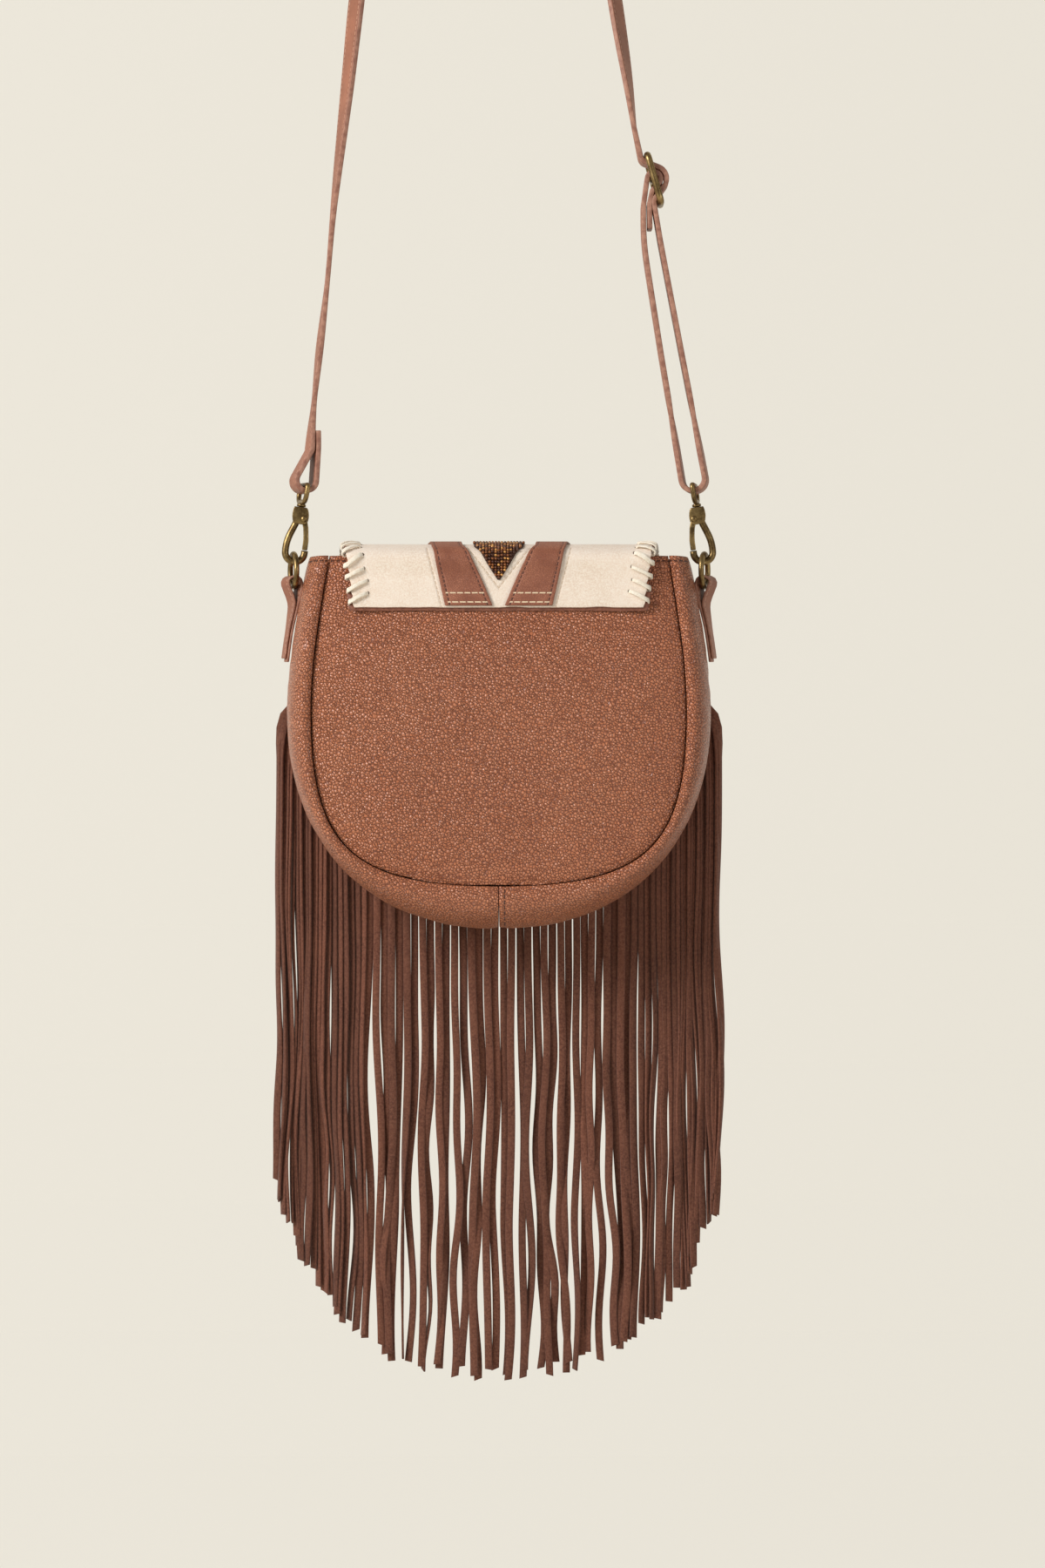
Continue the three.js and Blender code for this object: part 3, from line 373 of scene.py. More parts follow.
panel_hide = pebbled_hide("panel_hide", lambda x, z: [(z + 3.0, x + 400)])
turned_edge = mottled("turned_edge", 0.6, 400, 3.0, (112, 64, 44), (140, 86, 64), 0.0001)

for panel_name, side in (("back_panel", -1), ("front_panel", 1)):
    def on_panel(u, v):
        x_share = (1 - 2 * u) * side
        seam_x, z = panel_seam(1.93 * (1 - v))
        half = seam_x + 0.15
        from_seam = min(half * (1 - abs(x_share)), (z + panel_drop) * 0.9)
        tuck = 1.3 * exp(-max(from_seam, 0) / 4.6)
        low = ease((-z - 95) / 70)
        fold = wander(x_share * 2.2, z / 19, side * 3) * 0.9 * low
        sag = wander(x_share * 1.5, z / 60, side * 9) * 0.7
        return bag(x_share * half, side * (panel_face(x_share, z) - tuck - abs(fold) - abs(sag) * ease(-z / 45)), z)

    panel = thicken(laid(64, 72, on_panel), leather * mm, 0.5 * mm)
    made(panel_name + "_hide", panel, [panel_hide, turned_edge], "panel_leather", [panel_name], "bag")


# Gusset
# One long band in two halves between the panels, of the same hide. It bulges along both seams
# and its halves meet in a seam under the bag's middle.

gusset_hide = pebbled_hide(
    "gusset_hide", lambda x, z: [(z + 3.0, x + 400), ((x - 3.4) + (z + 150).step(0, 1) * 99, z + 400)]
)

for gusset_name, side in (("gusset_left", -1), ("gusset_right", 1)):
    def on_gusset(u, v):
        angle = (1 - 2 * u) * side * swell_end
        s = 2 * v
        seam, crown = Vector(panel_seam(s)), Vector(silhouette(s))
        out = crown - seam
        swell = out.length
        out.normalize()
        spread = swell / (1 - cos(swell_end))
        off = spread * (cos(angle) - cos(swell_end))
        y = depth_at(seam.y) * sin(angle)
        pinch = 1.4 * exp(-max(seam.x + out.x * off, 0) / 3.4) * cos(angle / 2)
        mouth = exp(seam.y / 5) * 1.2
        crease = abs(wander(s * 7, angle * 1.3, side * 5)) * 0.8 * ease(s * 3)
        off -= (pinch + mouth + crease) * max(cos(angle), 0)
        x = max(seam.x + out.x * off, 0) + 0.15
        return bag(side * x, y, seam.y + out.y * off)

    gusset = thicken(laid(44, 96, on_gusset), leather * mm, 0.5 * mm)
    made(gusset_name + "_hide", gusset, [gusset_hide, turned_edge], "panel_leather", [gusset_name], "bag")


# Lining
# A thin sack of plain weave inside the panels, hemmed to them just under the mouth.

weave = Finish("lining_weave", Roughness=0.9, Sheen_Weight=0.2)
cloth = weave.where()
threads = weave.node("SeparateXYZ", None, {0: cloth})
warp, weft = threads * 2600, threads.other("Z") * 2600
warp, weft = warp.maths("SINE", warp), weft.maths("SINE", weft)
weave.colour(weave.mix((warp * weft).step(-0.6, 0.6), sRGB(128, 92, 80), sRGB(158, 118, 104)))
weave.relief(warp * weft, 0.00008)


def in_sack(u, v):
    z = -1 - v * 182
    close = sqrt(1 - max(v - 0.8, 0) / 0.2 * 0.8)
    half = half_at(panel_seam, z, 2.0) - 5
    hug = leather + 0.3 + 4 * min(v * 2.5, 1)
    c, s = cos(2 * pi * u), sin(2 * pi * u)
    depth = (panel_face(0, z) - hug) * close
    return bag(half * copysign(abs(c) ** 0.5, c), depth * copysign(abs(s) ** 0.5, s), z)


sack = laid(72, 30, in_sack)
bmesh.ops.remove_doubles(sack, verts=sack.verts[:], dist=0.00001)
bmesh.ops.holes_fill(sack, edges=[e for e in sack.edges if e.is_boundary and e.verts[0].co.z < -0.7], sides=0)
bmesh.ops.recalc_face_normals(sack, faces=sack.faces[:])
bmesh.ops.solidify(sack, geom=sack.faces[:], thickness=0.6 * mm)
made("lining_sack", sack, [weave], "lining_cloth", ["lining"], "bag")


# Flap
# One piece of cream suede: its end is sewn on the back, it folds over the mouth and hangs down
# the front to a U-shaped edge. A thin cloth lining inside the front half closes in the fringe's sewn edge.

flap_thick = 1.8
flap_widest, fringe_start, flap_drop, flap_round = 117.5, 82, 193.5, 0.62
rear_face = -1.7
flap_line = [
    (-panel_face(0, -30) + rear_face, -30), (-panel_face(0, -12) + rear_face, -12), (-panel_face(0, 0) - 2.3, 0),
    (-14, 5.6), (0, 6.4), (14, 5.5), (26, 1), (34, -13), (38, -35), (39, -60), (39, -194.5),
]


def smooth_run(points, steps=60):
    """A centripetal curve through points in the bag's side view."""
    first = tuple(2 * a - b for a, b in zip(points[0], points[1]))
    last = tuple(2 * a - b for a, b in zip(points[-1], points[-2]))
    whole = [Vector(p) for p in (first, *points, last)]
    run = []
    for p0, p1, p2, p3 in zip(whole, whole[1:], whole[2:], whole[3:]):
        k0, k1, k2 = (sqrt((b - a).length) for a, b in ((p0, p1), (p1, p2), (p2, p3)))
        t1 = ((p1 - p0) / k0 - (p2 - p0) / (k0 + k1) + (p2 - p1) / k1) * k1
        t2 = ((p2 - p1) / k1 - (p3 - p1) / (k1 + k2) + (p3 - p2) / k2) * k1
        for i in range(steps):
            t = i / steps
            run.append(p1 + t1 * t + (3 * (p2 - p1) - 2 * t1 - t2) * t * t + (2 * (p1 - p2) + t1 + t2) * t ** 3)
    return run + [whole[-2]]


side_view = smooth_run(flap_line)
runs = [0.0]
for a, b in zip(side_view, side_view[1:]):
    runs.append(runs[-1] + (b - a).length)
flap_length = runs[-1]


def along_flap(run):
    """Place and direction in the side view, run millimetres from the sewn end on the back."""
    run = min(max(run, 0), flap_length - 0.01)
    low, high = 0, len(runs) - 1
    while high - low > 1:
        middle = (low + high) // 2
        low, high = (middle, high) if runs[middle] <= run else (low, middle)
    share = (run - runs[low]) / (runs[high] - runs[low])
    here = side_view[low].lerp(side_view[high], share)
    return here, (side_view[high] - side_view[low]).normalized()


def on_flap(x, run, lift):
    here, way = along_flap(run)
    return bag(x, here.x - way.y * lift, here.y + way.x * lift)


def run_where(test):
    return next(run for run, point in zip(runs, side_view) if test(point))


hinge_run = run_where(lambda p: p.x > -20)
front_top = run_where(lambda p: p.x > 0 and p.y < 0)


def run_at_drop(drop):
    """Place on the flap's front, drop millimetres below the mouth."""
    drop = min(max(drop, 0.01), 194)
    k = next(i for i, p in enumerate(side_view) if p.x > 0 and p.y < -drop)
    share = (side_view[k - 1].y + drop) / (side_view[k - 1].y - side_view[k].y)
    return runs[k - 1] + (runs[k] - runs[k - 1]) * share


def flap_bow(t):
    """The U-shaped edge that carries the fringe, from its lowest point up to the side for t to 1."""
    low = (flap_widest * flap_round, -flap_drop)
    side = (flap_widest, -fringe_start - (flap_drop - fringe_start) * flap_round)
    return bezier((0, -flap_drop), low, side, (flap_widest, -fringe_start), t)


flap_rows = [(83 + 5 * i / 11, hinge_run * i / 11) for i in range(11)]
flap_rows += [(88 + 3 * i / 10, hinge_run + (front_top - hinge_run) * i / 10) for i in range(10)]
for i in range(16):
    high, low = (flap_widest, -fringe_start * 0.72), (flap_widest, -fringe_start)
    x, z = bezier((91, 0), (93, -fringe_start * 0.4), high, low, i / 16)
    flap_rows.append((x, run_at_drop(-z)))
for i in range(34):
    x, z = flap_bow(1 - 0.93 * i / 33)
    flap_rows.append((x, run_at_drop(-z)))


def flap_half(run):
    for (half_a, run_a), (half_b, run_b) in zip(flap_rows, flap_rows[1:]):
        if run <= run_b:
            return half_a + (half_b - half_a) * max(run - run_a, 0) / max(run_b - run_a, 0.001)
    return flap_rows[-1][0]


def suede(name, dark, mid, light, nap=1100, tone_of=None, rows=lambda skin, where: ()):
    skin = Finish(name, Roughness=0.95, Specular_IOR_Level=0.2, Sheen_Weight=0.12, Sheen_Roughness=0.6)
    where = skin.where()
    fibres = skin.cloud(where, nap, 6.0, 0.7)
    patches = skin.cloud(where, 55, 3.0)
    shade = skin.mix(patches.step(0.3, 0.7), dark, mid)
    shade = skin.mix(fibres.step(0.35, 0.68), shade, light)
    if tone_of:
        tone = skin.node("Attribute", {"attribute_name": tone_of}, out="Fac")
        shade = skin.node("HueSaturation", None, {"Value": 0.74 + tone * 0.5, "Color": shade})
    height = fibres + patches * 0.6
    for row in rows(skin, where):
        thread = sewn_row(skin, *row)
        # A faint darker line along each row, in the valley that the stitches pull: painted shade.
        shade = skin.mix(abs(row[0]).step(0.9, 0.2) * 0.2, shade, sRGB(196, 168, 142))
        shade = skin.mix(thread, shade, sRGB(214, 190, 162))
        height = height - abs(row[0]).step(1.1, 0.0) * 1.2 + thread
    skin.colour(shade)
    skin.relief(height, 0.00035, 0.6)
    return skin


def rows_on_suede(skin, where):
    """Stitches beside the beads and outside the bands on the back, in the bag's millimetres."""
    x = skin.node("SeparateXYZ", None, {0: where})
    y, z = x.other("Y") * 1000, x.other("Z") * 1000 - bag_top
    x = abs(x * 1000 - bag_x)
    front = (y + 20).step(0, 1) * 99
    beside_beads = x * 0.79 - (z + 13.4) * 0.61 - 3.2 + front
    beside_bands = x - z * 0.257 - 40 + front
    return (beside_beads, z, 2.8, 0.34), (beside_bands, z, 2.8, 0.34)


cream_suede = suede("cream_suede", sRGB(228, 206, 184), sRGB(238, 219, 200), sRGB(246, 234, 219), rows=rows_on_suede)
flap_edge = suede("flap_edge", sRGB(120, 72, 54), sRGB(146, 96, 76), sRGB(190, 150, 124))


def on_suede(u, v):
    half, run = flap_rows[round(v * (len(flap_rows) - 1))]
    across = 2 * u - 1
    pull = 0.9 * cos(pi * run / 7) ** 2 * abs(across) ** 12
    wave = wander(across * 1.8, run / 45, 2) * 0.7 * ease(run / 30)
    edge_wave = wander(across * 5, 7, 1) * 0.9 * (1 - ease(run / 12))
    lift = flap_thick / 2 - 0.1 - abs(wave) * 0.5
    return on_flap(across * (half - pull), run + edge_wave, lift)


hinge = bag(0, -19.95, 3.856)
flap = thicken(laid(56, len(flap_rows) - 1, on_suede), 1.6 * mm, 0.45 * mm)
flap = made("flap_suede", flap, [cream_suede, flap_edge], "flap_suede", ["flap_rear", "flap_front"])
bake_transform(flap)


def on_backing(u, v):
    x = (2 * u - 1) * (84.5 + 2 * v)
    wave = wander(u * 6, 3, 4) * 0.3
    if v < 0.25:
        return on_flap(x, 0, -0.45) - Vector((0, 0, 1.7 * (1 - v * 4) + wave)) * mm
    return on_flap(x, (v - 0.25) * 12, -0.45)


backing = thicken(laid(50, 12, on_backing), 0.45 * mm, 0.15 * mm, 1)
made("flap_backing", backing, [turned_edge, turned_edge], "band_leather", body="bag")

lining_rows = [(half - 2.5, run - 2.5) for half, run in flap_rows if run > run_at_drop(10)]


def on_lining(u, v):
    half, run = lining_rows[round(v * (len(lining_rows) - 1))]
    return on_flap((2 * u - 1) * half, run, -3.0)


flap_cloth = thicken(laid(40, len(lining_rows) - 1, on_lining), 0.9 * mm, 0.2 * mm, 1)
flap_cloth = made("flap_cloth", flap_cloth, [weave, weave], "lining_cloth", ["flap_lining"], "flap")


# Bands
# Two brown leather bands, sewn on the suede with a dark row beside each edge and two cream rows
# across their lower ends on the back. Each runs on over the fold and down the front.

band_run = run_at_drop(150)
band_knots = (
    (1.0, 3.5, 30.5), (0.3 * hinge_run, 7.6, 32.8), (0.65 * hinge_run, 13.2, 35.4), (hinge_run, 20.5, 38.2),
    (front_top, 24.5, 43.0), (run_at_drop(60), 30.5, 48.0), (run_at_drop(110), 38.5, 50.0), (band_run, 44, 49),
)


def band_edges(run):
    for (run_a, in_a, out_a), (run_b, in_b, out_b) in zip(band_knots, band_knots[1:]):
        if run <= run_b:
            t = (run - run_a) / (run_b - run_a)
            return in_a + (in_b - in_a) * t, out_a + (out_b - out_a) * t
    return band_knots[-1][1:]


band_hide = Finish("band_hide", Specular_IOR_Level=0.5)
cut = band_hide.node("UVMap", {"uv_map": "Cut"})
across = band_hide.node("SeparateXYZ", None, {0: cut})
down = across.other("Y")
band_where = band_hide.where()
band_grain = band_hide.node("TexVoronoi", {"feature": "DISTANCE_TO_EDGE"}, {"Vector": band_where, "Scale": 900})
band_tone = band_hide.cloud(band_where, 70, 4.0)
pits = band_grain.step(0.0, 0.25)
band_top = band_hide.mix(band_tone.step(0.3, 0.7), sRGB(144, 84, 58), sRGB(170, 108, 80))
band_shade = band_hide.mix(pits * 0.6 + 0.4, sRGB(112, 60, 42), band_top)
band_height = pits * 0.5 + band_tone
for line in (across - 1.8, across - 16.2):
    thread = sewn_row(band_hide, line, down, 2.6, 0.4)
    band_shade = band_hide.mix(thread, band_shade, sRGB(84, 44, 30))
    band_height = band_height - abs(line).step(1.2, 0.0) * 1.4 + thread
for line in (down - 1.9, down - 7.2):
    thread = sewn_row(band_hide, line, across, 2.9, 0.5, 0.86) * across.step(1.2, 1.6) * across.step(16.8, 16.4)
    band_shade = band_hide.mix(thread, band_shade, sRGB(240, 214, 180))
    band_height = band_height - abs(line).step(1.3, 0.0) * 1.4 + thread * 1.6
band_hide.colour(band_shade)
band_hide.roughness(0.5 + band_tone * 0.2)
band_hide.relief(band_height, 0.00025, 0.7)

for side_name, side in both_sides:
    def on_band(u, v):
        run = 1.0 + (band_run - 1.0) * v
        inner, outer = band_edges(run)
        x = side * inner + side * (outer - inner) * (u if side > 0 else 1 - u)
        return on_flap(x, run, flap_thick / 2 + 1.5)

    band = laid(14, 150, on_band, (18.0, band_run - 1.0))
    band = thicken(band, 1.3 * mm, 0.4 * mm)
    nodes = [f"band_rear_{side_name}", f"band_front_{side_name}"]
    band = made(f"band_{side_name}", band, [band_hide, turned_edge], "band_leather", nodes)
    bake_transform(band)


# Beaded point
# Rows of small bronze glass beads fill a triangle on the back, point down, and a longer one on
# the front. They are threaded up and down and sewn through the suede.

bead_glass = Finish("bead_glass", Roughness=0.3, Specular_IOR_Level=0.5)
bead_tone = bead_glass.node("Attribute", {"attribute_name": "Tone"}, out="Fac")
bead_shade = bead_glass.mix(bead_tone.step(0.1, 0.6), sRGB(70, 32, 12), sRGB(142, 82, 38))
bead_glass.colour(bead_glass.mix(bead_tone.step(0.66, 0.98), bead_shade, sRGB(226, 166, 92)))
bead_glass.join(bead_tone.step(0.5, 1.0) * 0.4, bead_glass.shader.inputs["Metallic"])

bead_pitch, bead_length = 1.75, 1.5
bead_point = run_where(lambda p: p.y > -14.5)
bead_end = run_at_drop(40)
picker = random.Random(4)
beads = bmesh.new()
bead_layer = beads.verts.layers.float.new("Tone")


def bead_half(run):
    if run < hinge_run:
        return 0.4 + 13.4 * (run - bead_point) / (hinge_run - bead_point)
    t = (run - hinge_run) / (bead_end - hinge_run)
    return 13.8 + 0.8 * sin(min(t * 2, 1) * pi / 2) - 13.4 * max(t - 0.35, 0) / 0.65


for column in range(-8, 9):
    x = column * bead_pitch
    run = bead_point
    while run < bead_end:
        run += bead_length * picker.uniform(0.94, 1.06)
        if abs(x) > bead_half(run) or run > bead_end:
            continue
        size = picker.uniform(0.8, 0.9)
        here = on_flap(x + picker.uniform(-0.12, 0.12), run, flap_thick / 2 + 0.95)
        way = on_flap(x, run + 0.2, flap_thick / 2 + 0.95) - on_flap(x, run - 0.2, flap_thick / 2 + 0.95)
        stand = Matrix.LocRotScale(here, way.to_track_quat("Z", "X"), Vector((1.0, 1.0, 0.86)) * size * mm)
        fresh = bmesh.ops.create_uvsphere(beads, u_segments=8, v_segments=5, radius=1.0, matrix=stand)["verts"]
        shade = picker.random() ** 1.3
        for vert in fresh:
            vert[bead_layer] = shade


def on_bead_cloth(u, v):
    run = bead_point + (bead_end - bead_point) * v
    return on_flap((2 * u - 1) * (bead_half(run) + 0.3), run, flap_thick / 2 + 0.5)


bead_cloth = mottled("bead_cloth", 0.9, 1800, 2.0, (44, 22, 12), (78, 44, 26))
bead_patch = thicken(laid(6, 60, on_bead_cloth), 0.4 * mm, 0.1 * mm, 1)
bead_patch = made("bead_patch", bead_patch, [bead_cloth, bead_cloth], "beads")
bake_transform(bead_patch)
beads = made("bead_rows", beads, [bead_glass], "beads", ["beads_rear", "beads_front"])
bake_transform(beads)


# Laces
# A flat pale lace is whipped over each side edge of the flap, through punched holes a finger's
# width in, so that slanting stitches show on both faces.

lace_hide = suede("lace_hide", sRGB(226, 211, 187), sRGB(236, 223, 202), sRGB(247, 239, 224), 700)
# The dark discs at the punched holes are painted shade in the holes.
punched = mottled("punched_hole_shade", 1.0, 900, 3.0, (62, 44, 34), (92, 70, 54))
lace_pitch = 7.2
lace_last = run_at_drop(fringe_start)

for side_name, side in both_sides:
    lace = bmesh.new()
    picker = random.Random(11 + side)
    first = 5.5 if side < 0 else 6.5
    for i in range(int((lace_last - first) / lace_pitch)):
        run = first + i * lace_pitch + picker.uniform(-0.4, 0.4)
        half = flap_half(run)
        reach = 9.0 + picker.uniform(-0.8, 0.8)
        lean = 2.2 + picker.uniform(-0.5, 0.6)
        # Each stop of a stitch is x, its shift along the edge, and its height on the flap
        stops = (
            (half - reach - 0.4, lean + 0.3, 0.2), (half - reach + 0.8, lean, 1.5),
            (half - reach * 0.5, lean * 0.3, 1.95), (half - 1.2, -lean * 0.6, 1.75), (half + 0.7, -lean, 0.9),
            (half + 0.9, -lean - 0.3, -0.3), (half + 0.2, -lean - 0.4, -1.35), (half - 2.0, -lean - 0.2, -1.6),
        )

        def on_stitch(u, v):
            place = v * (len(stops) - 1)
            a, b = stops[int(place)], stops[min(int(place) + 1, len(stops) - 1)]
            t = place - int(place)
            x, shift, lift = (p + (q - p) * t for p, q in zip(a, b))
            wide = 2.7 * (0.55 + 0.45 * sin(pi * min(max(v * 1.5, 0.12), 0.5)))
            return on_flap(side * x, run + shift + (u - 0.5) * wide * side, lift)

        stitch = thicken(laid(3, 14, on_stitch), 0.95 * mm, 0.3 * mm, 1)
        add_to(lace, stitch)
        # A dark disc on the suede at each hole: painted shade.
        spot = on_flap(side * (half - reach - 0.7), run + lean + 0.5, flap_thick / 2 + 0.02)
        up = on_flap(side * half, run, 2) - on_flap(side * half, run, 1)
        turn = Matrix.LocRotScale(spot, up.to_track_quat("Z", "X"), Vector((1.0, 0.75, 1.0)))
        bmesh.ops.create_circle(lace, cap_ends=True, segments=10, radius=0.95 * mm, matrix=turn)
        for face in lace.faces[-1:]:
            face.material_index = 2
    nodes = [f"lace_rear_{side_name}", f"lace_front_{side_name}"]
    lace = made(f"lace_{side_name}", lace, [lace_hide, lace_hide, punched], "lace_leather", nodes)
    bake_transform(lace)


# Fringe
# Strips cut from one band of dark suede, sewn between the flap and its lining along the U-shaped
# edge. They hang straight down, so the side strips fall over each other, partly edge on.

strip_pitch, strip_long, strip_thick, strips = 4.7, 280.0, 1.3, 39
fringe_y, row_share, bow_steps = 37.1, 0.12, 400
steep = radians(35)
fringe_suede = suede("fringe_suede", sRGB(84, 48, 36), sRGB(100, 60, 45), sRGB(122, 78, 60), 800, "Tone")
bow_samples = [Vector(flap_bow(i / bow_steps)) for i in range(bow_steps + 1)]
bow_runs = [0.0]
for a, b in zip(bow_samples, bow_samples[1:]):
    bow_runs.append(bow_runs[-1] + (b - a).length)


def on_bow(run):
    """Place and direction on the sewn edge, run millimetres from its lowest point."""
    i = next((k for k, r in enumerate(bow_runs) if r > run), bow_steps) - 1
    share = (run - bow_runs[i]) / (bow_runs[i + 1] - bow_runs[i])
    return bow_samples[i].lerp(bow_samples[i + 1], share), (bow_samples[i + 1] - bow_samples[i]).normalized()


hang = strip_pitch / 2
fringe = []
for i in range(strips):
    root, way = on_bow((i + 0.5) * strip_pitch)
    slope = atan2(way.y, way.x)
    if i:
        step = strip_pitch * on_bow(i * strip_pitch)[1].x
        hang += max(step, 1.7 / sin(slope)) if slope > steep else step
    fringe.append({"i": i, "root": root, "slope": slope, "hang": hang + 3 * sin(slope)})

fringe_rows = [[]]
row_rise = (fringe[-1]["root"].y - fringe[0]["root"].y) * row_share
for strip in fringe:
    row = fringe_rows[-1]
    whole = strip["slope"] >= steep or strip["i"] % 2 == 1
    if row and strip["root"].y - row[0]["root"].y > row_rise and whole:
        fringe_rows.append([strip])
    else:
        row.append(strip)

row_hinges = (-194.9, -178.9, -164.8, -150.5, -134.1, -120.8, -107.0, -93.0)


def hang_strip(shape, strip, side, place_in_row):
    """One strip: out of the sewn edge, over a soft bend and down, with the slow waves of cut suede."""
    i, slope, hang = strip["i"], strip["slope"], strip["hang"]
    picker = random.Random(100 + 2 * i + (side > 0))
    flat = slope < steep
    layer = (0.95 if i % 2 == 0 else -0.95) if flat else 1.8 * (place_in_row - 0.5)
    out = Vector((sin(slope), -cos(slope)))
    reach = max((hang - strip["root"].x) / max(out.x, 0.05) - 2.5, 0) * out.x
    bend = 12 + 14 * out.x
    start = strip["root"] + out * 0.2
    knee = strip["root"] + out * (3.5 + reach * 0.6)
    foot_z = strip["root"].y - bend
    long = strip_long + picker.uniform(-4, 4)
    wide = picker.uniform(4.1, 4.7)
    swing = picker.uniform(0.5, 1.5) * (1.0 if flat else 0.4)
    beat, phase = picker.uniform(60, 150), picker.uniform(0, 6.3)
    drift = picker.uniform(-2.2, 2.2) * (1.0 if flat else 0.3)
    curl = picker.choice((0, 0, 0, 1)) * picker.uniform(-1, 1) * 80 * (1.0 if flat else 0.5)
    curl_at = picker.uniform(0.35, 0.95)
    twist = picker.uniform(-24, 24)
    slant = picker.uniform(-0.9, 0.9)
    shade = picker.random() * 0.8 + 0.1

    def stray(step, across, seed):
        return wander(i * across * side, step, seed)

    def on_strip(u, v):
        down = v * long
        if v < 0.1:
            t = v / 0.1
            x, z = bezier(start, knee, (hang, foot_z + bend * 0.6), (hang, foot_z), t)
        else:
            x, z = hang, foot_z + (v - 0.1) / 0.9 * (strip["root"].y - long - foot_z)
        free = ease(down / 230)
        x += stray(down / 95, 0.22, 3.3) * 5.5 * free
        x += swing * free * sin(down / beat * 6.28 + phase) + drift * free
        y = fringe_y + layer * ease(v / 0.04) + stray(down / 80, 0.3, 8.1) * 3.2 * free
        y += (1.2 if flat else 0.3) * free * cos(down / beat * 5 + phase)
        angle = slope * ease((v - 0.02) / 0.1) * (0 if flat else 0.72)
        unrest = 26 * free * wander(i, down / 55, 1.7)
        angle += radians(twist * free + curl * ease((v - curl_at + 0.3) / 0.3) + unrest)
        tip = slant * (u - 0.5) * 2 * ease((v - 0.97) / 0.03)
        flat_way = Vector((cos(slope), 0, sin(slope)))
        hung_way = Vector((cos(angle), sin(angle), 0))
        way = flat_way.lerp(hung_way, ease(v / 0.09)).normalized() * (u - 0.5) * wide
        return bag(side * (x + way.x), y + way.y - strip_thick / 2, z + way.z + tip)

    piece = laid(2, 44, on_strip)
    if side > 0:
        bmesh.ops.reverse_faces(piece, faces=piece.faces[:])
    piece.normal_update()
    thicken(piece, strip_thick * mm, 0.25 * mm, 1)
    bmesh.ops.recalc_face_normals(piece, faces=piece.faces[:])
    layer_here = piece.verts.layers.float.new("Tone")
    for vert in piece.verts:
        vert[layer_here] = shade
    add_to(shape, piece)


for number, row in enumerate(fringe_rows):
    groups = [((side,), "_" + side_name) for side_name, side in both_sides] if number else [((-1, 1), "")]
    for group, label in groups:
        bunch = bmesh.new()
        for side in group:
            for j, strip in enumerate(row):
                hang_strip(bunch, strip, side, j / max(len(row) - 1, 1))
        nodes = [f"fringe_row_{number}{label}"]
        bunch = made(f"fringe_{number}{label}", bunch, [fringe_suede, fringe_suede], "fringe_suede", nodes)
        start, end = (bag(0, fringe_y, row_hinges[number] + shift) for shift in (1, -9))
        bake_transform(bunch)


def on_sewn_edge(u, v):
    run = (2 * v - 1) * strips * strip_pitch
    side = -1 if run < 0 else 1
    place, way = on_bow(abs(run))
    inward = 8 * u
    return bag(side * (place.x - way.y * inward), fringe_y + 0.6, place.y + way.x * inward)


sewn_edge = thicken(laid(2, 96, on_sewn_edge), 1.2 * mm, 0.2 * mm, 1)
bmesh.ops.recalc_face_normals(sewn_edge, faces=sewn_edge.faces[:])
made("fringe_edge", sewn_edge, [fringe_suede, fringe_suede], "fringe_suede", ["fringe_band"], "flap")


# Magnetic snap
# A dished brass socket on the front panel and a stud behind the flap's lining hold the flap shut.

brass = Finish("antique_brass", Metallic=0.92, Specular_IOR_Level=0.5)
brass_where = brass.where()
tarnish = brass.cloud(brass_where, 150, 5.0, 0.6)
scuffs = brass.cloud(brass_where, 900, 3.0)
brass_shade = brass.mix(tarnish.step(0.32, 0.68), sRGB(92, 72, 44), sRGB(158, 132, 86))
brass.colour(brass.mix(scuffs.step(0.55, 0.8) * 0.5, brass_shade, sRGB(196, 172, 124)))
brass.roughness(0.46 - tarnish * 0.24 + scuffs * 0.08)
brass.relief(scuffs + tarnish * 0.5, 0.00008, 0.5)


def spun(profile, steps=32):
    """A turned shape: radius and height, from the axis out and back to it, spun round the upright axis."""
    shape = bmesh.new()
    verts = [shape.verts.new((radius, 0, height)) for radius, height in profile]
    edges = [shape.edges.new(pair) for pair in zip(verts, verts[1:])]
    bmesh.ops.spin(
        shape, geom=verts + edges, cent=(0, 0, 0), axis=(0, 0, 1), dvec=(0, 0, 0), angle=2 * pi, steps=steps,
        use_merge=True, use_duplicate=False,
    )
    bmesh.ops.remove_doubles(shape, verts=shape.verts[:], dist=0.0005)
    bmesh.ops.recalc_face_normals(shape, faces=shape.faces[:])
    return shape


def placed(shape, stand):
    """Puts a shape made in millimetres in its place, and keeps its outside out where the place mirrors it."""
    bmesh.ops.transform(shape, matrix=stand, verts=shape.verts[:])
    bmesh.ops.recalc_face_normals(shape, faces=shape.faces[:])
    return shape


size_mm = Matrix.Scale(mm, 4)
facing_front = Matrix.Rotation(-pi / 2, 4, "X")
facing_back = Matrix.Rotation(pi / 2, 4, "X")
snap_z = -118
socket = spun([
    (0, 0.7), (2.5, 0.7), (2.9, 0.9), (3.1, 1.8), (3.5, 2.0), (5.0, 2.0), (5.3, 1.8), (5.6, 1.5), (6.9, 1.4),
    (7.6, 1.1), (8, 0.7), (8, 0.2), (7.8, 0), (0, 0),
])
socket = placed(socket, Matrix.Translation(bag(0, panel_face(0, snap_z) + 0.3, snap_z)) @ facing_front @ size_mm)
made("snap_socket_disc", socket, [brass], "brass", ["snap_socket"], "bag")
stud = spun([
    (0, 2.2), (1.8, 2.2), (2.3, 1.9), (2.4, 1.2), (3.2, 1.1), (7.2, 1.0), (7.9, 0.7), (8, 0.2), (7.8, 0), (0, 0),
])
stud = placed(stud, Matrix.Translation(bag(0, 34.8, snap_z)) @ facing_back @ size_mm)
made("snap_stud_disc", stud, [brass], "brass", ["snap_stud"], "flap")


# Side tabs
# A short length of strap leather is folded round each ring, and both ends are sewn down the gusset's middle.

